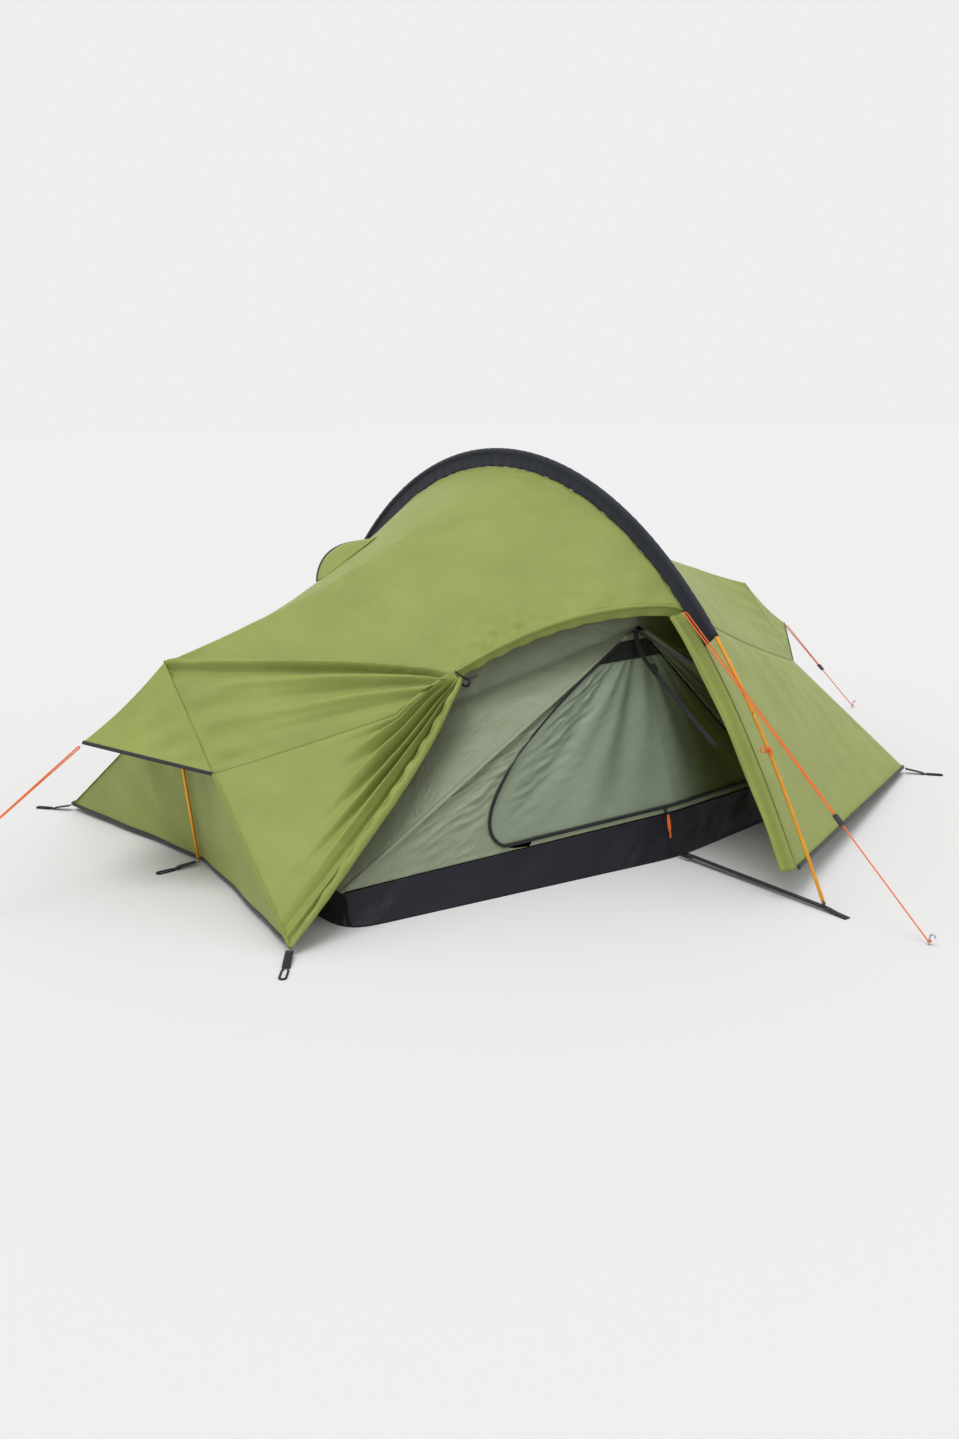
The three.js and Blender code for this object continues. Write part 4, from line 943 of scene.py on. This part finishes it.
def add_inner_door():
    panel = inner_grid(NEAR, door_left, door_right, DOOR_SILL + DOOR_GAP, MESH_FOOT, 120, 90, -0.002)
    cloth("inner_door_cloth", panel, INNER_DOOR, ["inner_door"],
          body="inner_door")
    net = inner_grid(NEAR, door_left, door_right, MESH_FOOT, DOOR_TOP - DOOR_GAP, 30, 20, -0.002)
    cloth("inner_door_net", net, NET, ["inner_door_mesh"], body="inner_door")
    rise = np.linspace(DOOR_TOP, DOOR_SILL, 50)
    curve = inner_wall_point(NEAR, door_left(rise), rise)
    sill = inner_wall_point(NEAR, np.linspace(door_left(DOOR_SILL), DOOR_RIGHT, 40)[1:], DOOR_SILL)
    line = np.concatenate([curve, sill]) + unit(at(0, -1, 0.3)) * 0.0052
    finish_piece(link("inner_zip_track", *ribbon_parts(line, 0.009, 0.0016, at(0.5, 0, 0.5))), WEB)


def add_inner_roof():
    gable_share = 0.3
    across_turn, up_turn = 0.46 * pi, 0.4 * pi
    u, v = grid(np.linspace(-1, 1, 101), np.linspace(0, 1, 121))
    across = np.where(v < 0.5, NEAR, FAR)
    up = 2 * np.minimum(v, 1 - v)
    out = np.abs(u)
    side = np.where(u < 0, LEFT, RIGHT)
    share = np.clip((up - gable_share) / (1 - gable_share), 0, 1)
    foot, middle, peak = (corner(point, side, across) for point in (TUB_CORNER, INNER_GABLE, INNER_PEAK))
    edge = bent_edge(foot, middle, peak, gable_share, up)
    s = across * (1 - share)
    drop = (1 - np.cos(s * up_turn)) / (1 - cos(up_turn))
    y = INNER_APEX[1] * np.sin(s * across_turn) / sin(across_turn)
    arch = np.stack([0 * u, y, INNER_TOP_Z - (INNER_TOP_Z - INNER_APEX[2]) * drop], -1)
    p = mix(arch, edge, out)
    p[..., 2] -= 4 * 0.026 * out * (1 - out) * np.minimum(1, 4 * np.minimum(v, 1 - v))
    relief = 0.003 * np.sin(24 * v + 3 * out) * np.sin(pi * out) + 0.002 * np.sin(60 * v) * np.sin(pi * out)
    p = push_out(p, relief * np.sin(pi * v), inside=(0, 0, 0.2))
    cloth("inner_roof_cloth", p, INNER, ["inner_roof"], inside=(0, 0, 0.2))


def add_inner_ends():
    for side, name in ((LEFT, "left"), (RIGHT, "right")):
        u, v = grid(np.linspace(-1, 1, 61), np.linspace(0, 1, 30))
        share, across = np.abs(u), np.where(u < 0, NEAR, FAR)
        gable, tub = corner(INNER_GABLE, side, across), corner(TUB_CORNER, side, across)
        high = bent_edge(corner(INNER_PEAK, side, 0), gable, tub, 0.45, share)
        panel = mix(corner(TUB_CORNER, side, u), high, v)
        panel[..., 0] += side * 0.004 * np.sin(14 * u) * np.sin(pi * v)
        cloth(f"inner_end_{name}_cloth", panel, INNER, [f"inner_end_{name}"],
              inside=(0, 0, 0.2))


# ---- Poles ----

def add_poles():
    ends = np.linspace(TIP_SHOULDER, ARCH_LENGTH - TIP_SHOULDER, POLE_SECTIONS + 1)
    for i in range(POLE_SECTIONS):
        run = np.linspace(ends[i] + 0.0004, ends[i + 1] - 0.0002, 40)
        radius = np.full(40, POLE_RADIUS)
        radius[[0, -1]] = POLE_RADIUS - 0.0005
        piece = link(f"arch_pole_tube_{i + 1}", *tube_parts(arch_point(run), radius, 24))
        finish_piece(piece, ALLOY, [f"arch_pole_section_{i + 1}"])
    tip = [(0.0015, 0), (0.0025, 0.001), (0.0025, 0.0120), (0.0034, 0.0135), (POLE_RADIUS, 0.0150),
           (POLE_RADIUS, 0.0183), (0.0042, 0.0186)]
    for name, start, end in (("near", 0.003, 0.06), ("far", ARCH_LENGTH - 0.003, ARCH_LENGTH - 0.06)):
        piece = link(f"arch_tip_{name}", *lathe_parts(tip, arch_point(start), arch_point(end)))
        finish_piece(piece, PLUG, [f"arch_pole_tip_{name}"])
    for side, name in ((LEFT, "left"), (RIGHT, "right")):
        foot = at(side * END_FOOT_X, 0, 0.003)
        top = at(side * PEAK[0], 0, PEAK[2] - 0.012)
        length = float(np.linalg.norm(top - foot))
        half = length / 2
        lower = [(0.0015, 0), (0.0025, 0.001), (0.0025, 0.013), (0.0046, 0.0148), (POLE_RADIUS, 0.0155),
                 (POLE_RADIUS, half - 0.001), (0.0042, half)]
        upper = [(0.0042, half + 0.0006), (POLE_RADIUS, half + 0.0016), (POLE_RADIUS, length - 0.004),
                 (0.0040, length - 0.001), (0.0028, length)]
        for part, profile in (("lower", lower), ("upper", upper)):
            piece = link(f"end_pole_{part}_{name}_tube", *lathe_parts(profile, foot, top, 28))
            finish_piece(piece, ALLOY, [f"end_pole_{part}_{name}"])


# ---- Webbing and small fittings ----

def loop_path(start, out, length):
    """A tab that comes down to the ground and ends in a loop lying flat: its two legs and the bar between."""
    side = at(-out[1], out[0], 0)
    tab = smooth_path([start, start + out * (length - 0.070) + at(0, 0, 0.006 - start[2]),
                       start + out * (length - 0.058) + at(0, 0, 0.0014 - start[2])], 14)
    angle = np.linspace(-pi / 2, pi / 2, 14)
    far = start + out * (length - 0.010)
    far[2] = 0.0014
    bow = far + 0.0075 * (np.cos(angle)[:, None] * out + np.sin(angle)[:, None] * side)
    near = start + out * (length - 0.056)
    near[2] = 0.0014
    legs = [near - side * 0.004, near + out * 0.010 - side * 0.0075]
    other = [near + out * 0.010 + side * 0.0075, near + side * 0.004]
    return tab, np.concatenate([legs, bow, other])


def add_peg_loops():
    places = []
    hem = (HEM_CORNER[0] + 0.003, HEM_CORNER[1] + 0.004, HEM_CORNER[2] - 0.004)
    for side_name, side in (("left", LEFT), ("right", RIGHT)):
        for across_name, across in (("near", NEAR), ("far", FAR)):
            reach = at(side * 0.074, across * 0.096, 0)
            places.append((f"{across_name}_{side_name}", corner(hem, side, across), reach))
        foot = at(side * (END_FOOT_X + 0.008), 0, 0.009)
        places.append((f"end_{side_name}", foot, at(side * 0.118, 0, 0)))
    for name, start, reach in places:
        out = unit(reach)
        tab, loop = loop_path(start, out, float(np.linalg.norm(reach)))
        parts = [ribbon_parts(tab, 0.020, 0.0020, at(-out[1], out[0], 0)), tube_parts(loop, 0.0026, 12)]
        finish_piece(link(f"peg_loop_web_{name}", *merge(parts)), WEB, [f"peg_loop_{name}"])


def add_floor_straps():
    bends = [(0.820, 0.015), (0.930, 0.0135), (1.090, 0.0115), (1.240, 0.009), (1.284, 0.008),
             (1.312, 0.004), (1.348, 0.0014)]
    for name, across in (("near", NEAR), ("far", FAR)):
        run = smooth_path([at(0, across * y, z) for y, z in bends], 60)
        strap = link(f"floor_strap_web_{name}", *ribbon_parts(run, 0.020, 0.0018, at(1, 0, 0)))
        finish_piece(strap, WEB, [f"floor_strap_{name}"])


def add_tension_strap():
    """Two straps run out from the inner's apex. Both end in the open, short of the bent pole."""
    x = -0.034
    apex, bend = at(x, -0.626, 0.620), at(x, -0.662, 0.548)
    long_end, short_end = at(x, -0.935, 0.352), at(x, -0.842, 0.560)
    long_run = smooth_path([apex, bend, mix(bend, long_end, 0.5) - at(0, 0, 0.002), long_end], 50)
    short_run = smooth_path([apex, mix(apex, short_end, 0.5) - at(0, 0, 0.003), short_end], 30)
    parts = [ribbon_parts(long_run, 0.018, 0.0018, at(1, 0, 0)),
             ribbon_parts(short_run, 0.014, 0.0018, at(1, 0, 0))]
    finish_piece(link("tension_strap_web", *merge(parts)), WEB, ["tension_strap"])


def add_toggle():
    tie = roof_point(LEFT, -1 + door_arch(TIE_POINT_SHARE) - 0.02, TIE_POINT_SHARE)
    foot = tie + at(0.006, -0.034, -0.008)
    barrel = [(0.0016, 0), (0.0026, 0.0006), (0.0034, 0.003), (0.0032, 0.008), (0.0026, 0.012),
              (0.0032, 0.016), (0.0034, 0.021), (0.0026, 0.0234), (0.0016, 0.024)]
    toggle = link("toggle_barrel", *lathe_parts(barrel, foot, foot + at(0.010, -0.002, 0.003)))
    finish_piece(toggle, PLASTIC, ["tie_back_toggle"], "toggle")


def add_zip_pull():
    pull = inner_wall_point(NEAR, -0.04, DOOR_SILL / 2) + at(0, -0.016, -0.009)
    angle = np.linspace(0, 2 * pi, 28, endpoint=False)
    half_width = 0.0036 * np.sin(angle) * (0.5 + 0.5 * np.sin(angle / 2))
    drop = -0.022 * (1 - np.cos(angle)) - 0.001
    lean = radians(10)
    loop = np.stack([half_width, drop * sin(lean), drop * cos(lean)], -1)
    hanging = [at(0, -0.0077, -0.0445), at(0.001, -0.0095, -0.054), at(0, -0.011, -0.064)]
    tail = smooth_path([pull + place for place in hanging], 8)
    parts = [tube_parts(loop + pull, 0.0024, 12, closed=True), tube_parts(tail, 0.0024, 12)]
    finish_piece(link("zip_pull_loop", *merge(parts)), CORD, ["zip_pull_cord"], "zip_pull")


def add_pole_hitch():
    """A cord wrapped three times round the bare pole and tied in a bow."""
    along = SEAM_ARC * 0.485
    knot = arch_point(along)
    ahead = unit(arch_point(along + 0.01) - knot)
    across = np.cross(ahead, at(1, 0, 0))
    angle = np.linspace(0, 2 * pi, 24, endpoint=False)[:, None]
    parts = []
    for turn in (-0.0036, 0.0, 0.0036):
        ring = arch_point(along + turn) + 0.0068 * (np.cos(angle) * at(1, 0, 0) + np.sin(angle) * across)
        parts.append(tube_parts(ring, CORD_RADIUS, 10, closed=True))
    for side in (-1, 1):
        bow = [at(-0.007, -0.003, 0.002), at(-0.013, side * 0.012 - 0.004, 0.009),
               at(-0.014, side * 0.020 - 0.004, 0.001), at(-0.010, side * 0.012 - 0.004, -0.006),
               at(-0.007, -0.002, -0.001)]
        parts.append(tube_parts(smooth_path([knot + place for place in bow], 24), 0.0015, 10))
    finish_piece(link("pole_hitch_bow", *merge(parts)), CORD, ["pole_hitch_cord"])


def dress_carried_nodes():
    """The small hard parts keep their own shapes and only take a material."""
    plastic = ["ladder_lock_near", "ladder_lock_far", "tension_buckle", "door_zip_slider",
               "line_runner_near", "line_runner_left", "line_runner_right"]
    for node, material in [("arch_shock_cord", ELASTIC)] + [(name, PLASTIC) for name in plastic]:
        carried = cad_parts[node]
        if carried.material_slots:
            carried.material_slots[0].material = material
        else:
            carried.data.materials.append(material)


# ---- Floor and lights ----

def add_studio():
    half = 40
    floor = link("studio_floor", [(-half, -half, 0), (half, -half, 0), (half, half, 0), (-half, half, 0)],
                 [(0, 1, 2, 3)], [(0, 0), (1, 0), (1, 1), (0, 1)], smooth=False)
    floor.location.z = -0.0005
    material, _, shader = blank("studio_floor")
    shader.inputs["Roughness"].default_value = 1.0
    shader.inputs["Specular IOR Level"].default_value = 0.0
    shader.inputs["Base Color"].default_value = (0.66, 0.66, 0.66, 1)
    floor.data.materials.append(material)
    world = bpy.data.worlds.new("studio")
    world.use_nodes = True
    world.node_tree.nodes["Background"].inputs["Color"].default_value = (0.863, 0.863, 0.863, 1)
    world.node_tree.nodes["Background"].inputs["Strength"].default_value = 1.0
    bpy.context.scene.world = world
    bpy.context.scene.view_settings.view_transform = "Standard"
    data = bpy.data.lights.new("key", "SUN")
    data.angle = radians(35)
    data.energy = 1.5
    light = bpy.data.objects.new("key", data)
    light.rotation_euler = Vector((1.4, 0.6, -5.0)).to_track_quat("-Z", "Y").to_euler()
    bpy.context.scene.collection.objects.link(light)


add_camera()
for guyline, route in GUYLINES.items():
    add_guyline(guyline, *route)
add_fly()
add_door()
add_storm_flap()
add_ends()
add_hoods()
add_cowl()
add_sleeve()
add_groundsheet()
add_inner_walls()
add_inner_door()
add_inner_roof()
add_inner_ends()
add_poles()
add_peg_loops()
add_floor_straps()
add_tension_strap()
add_toggle()
add_zip_pull()
add_pole_hitch()
dress_carried_nodes()
add_studio()
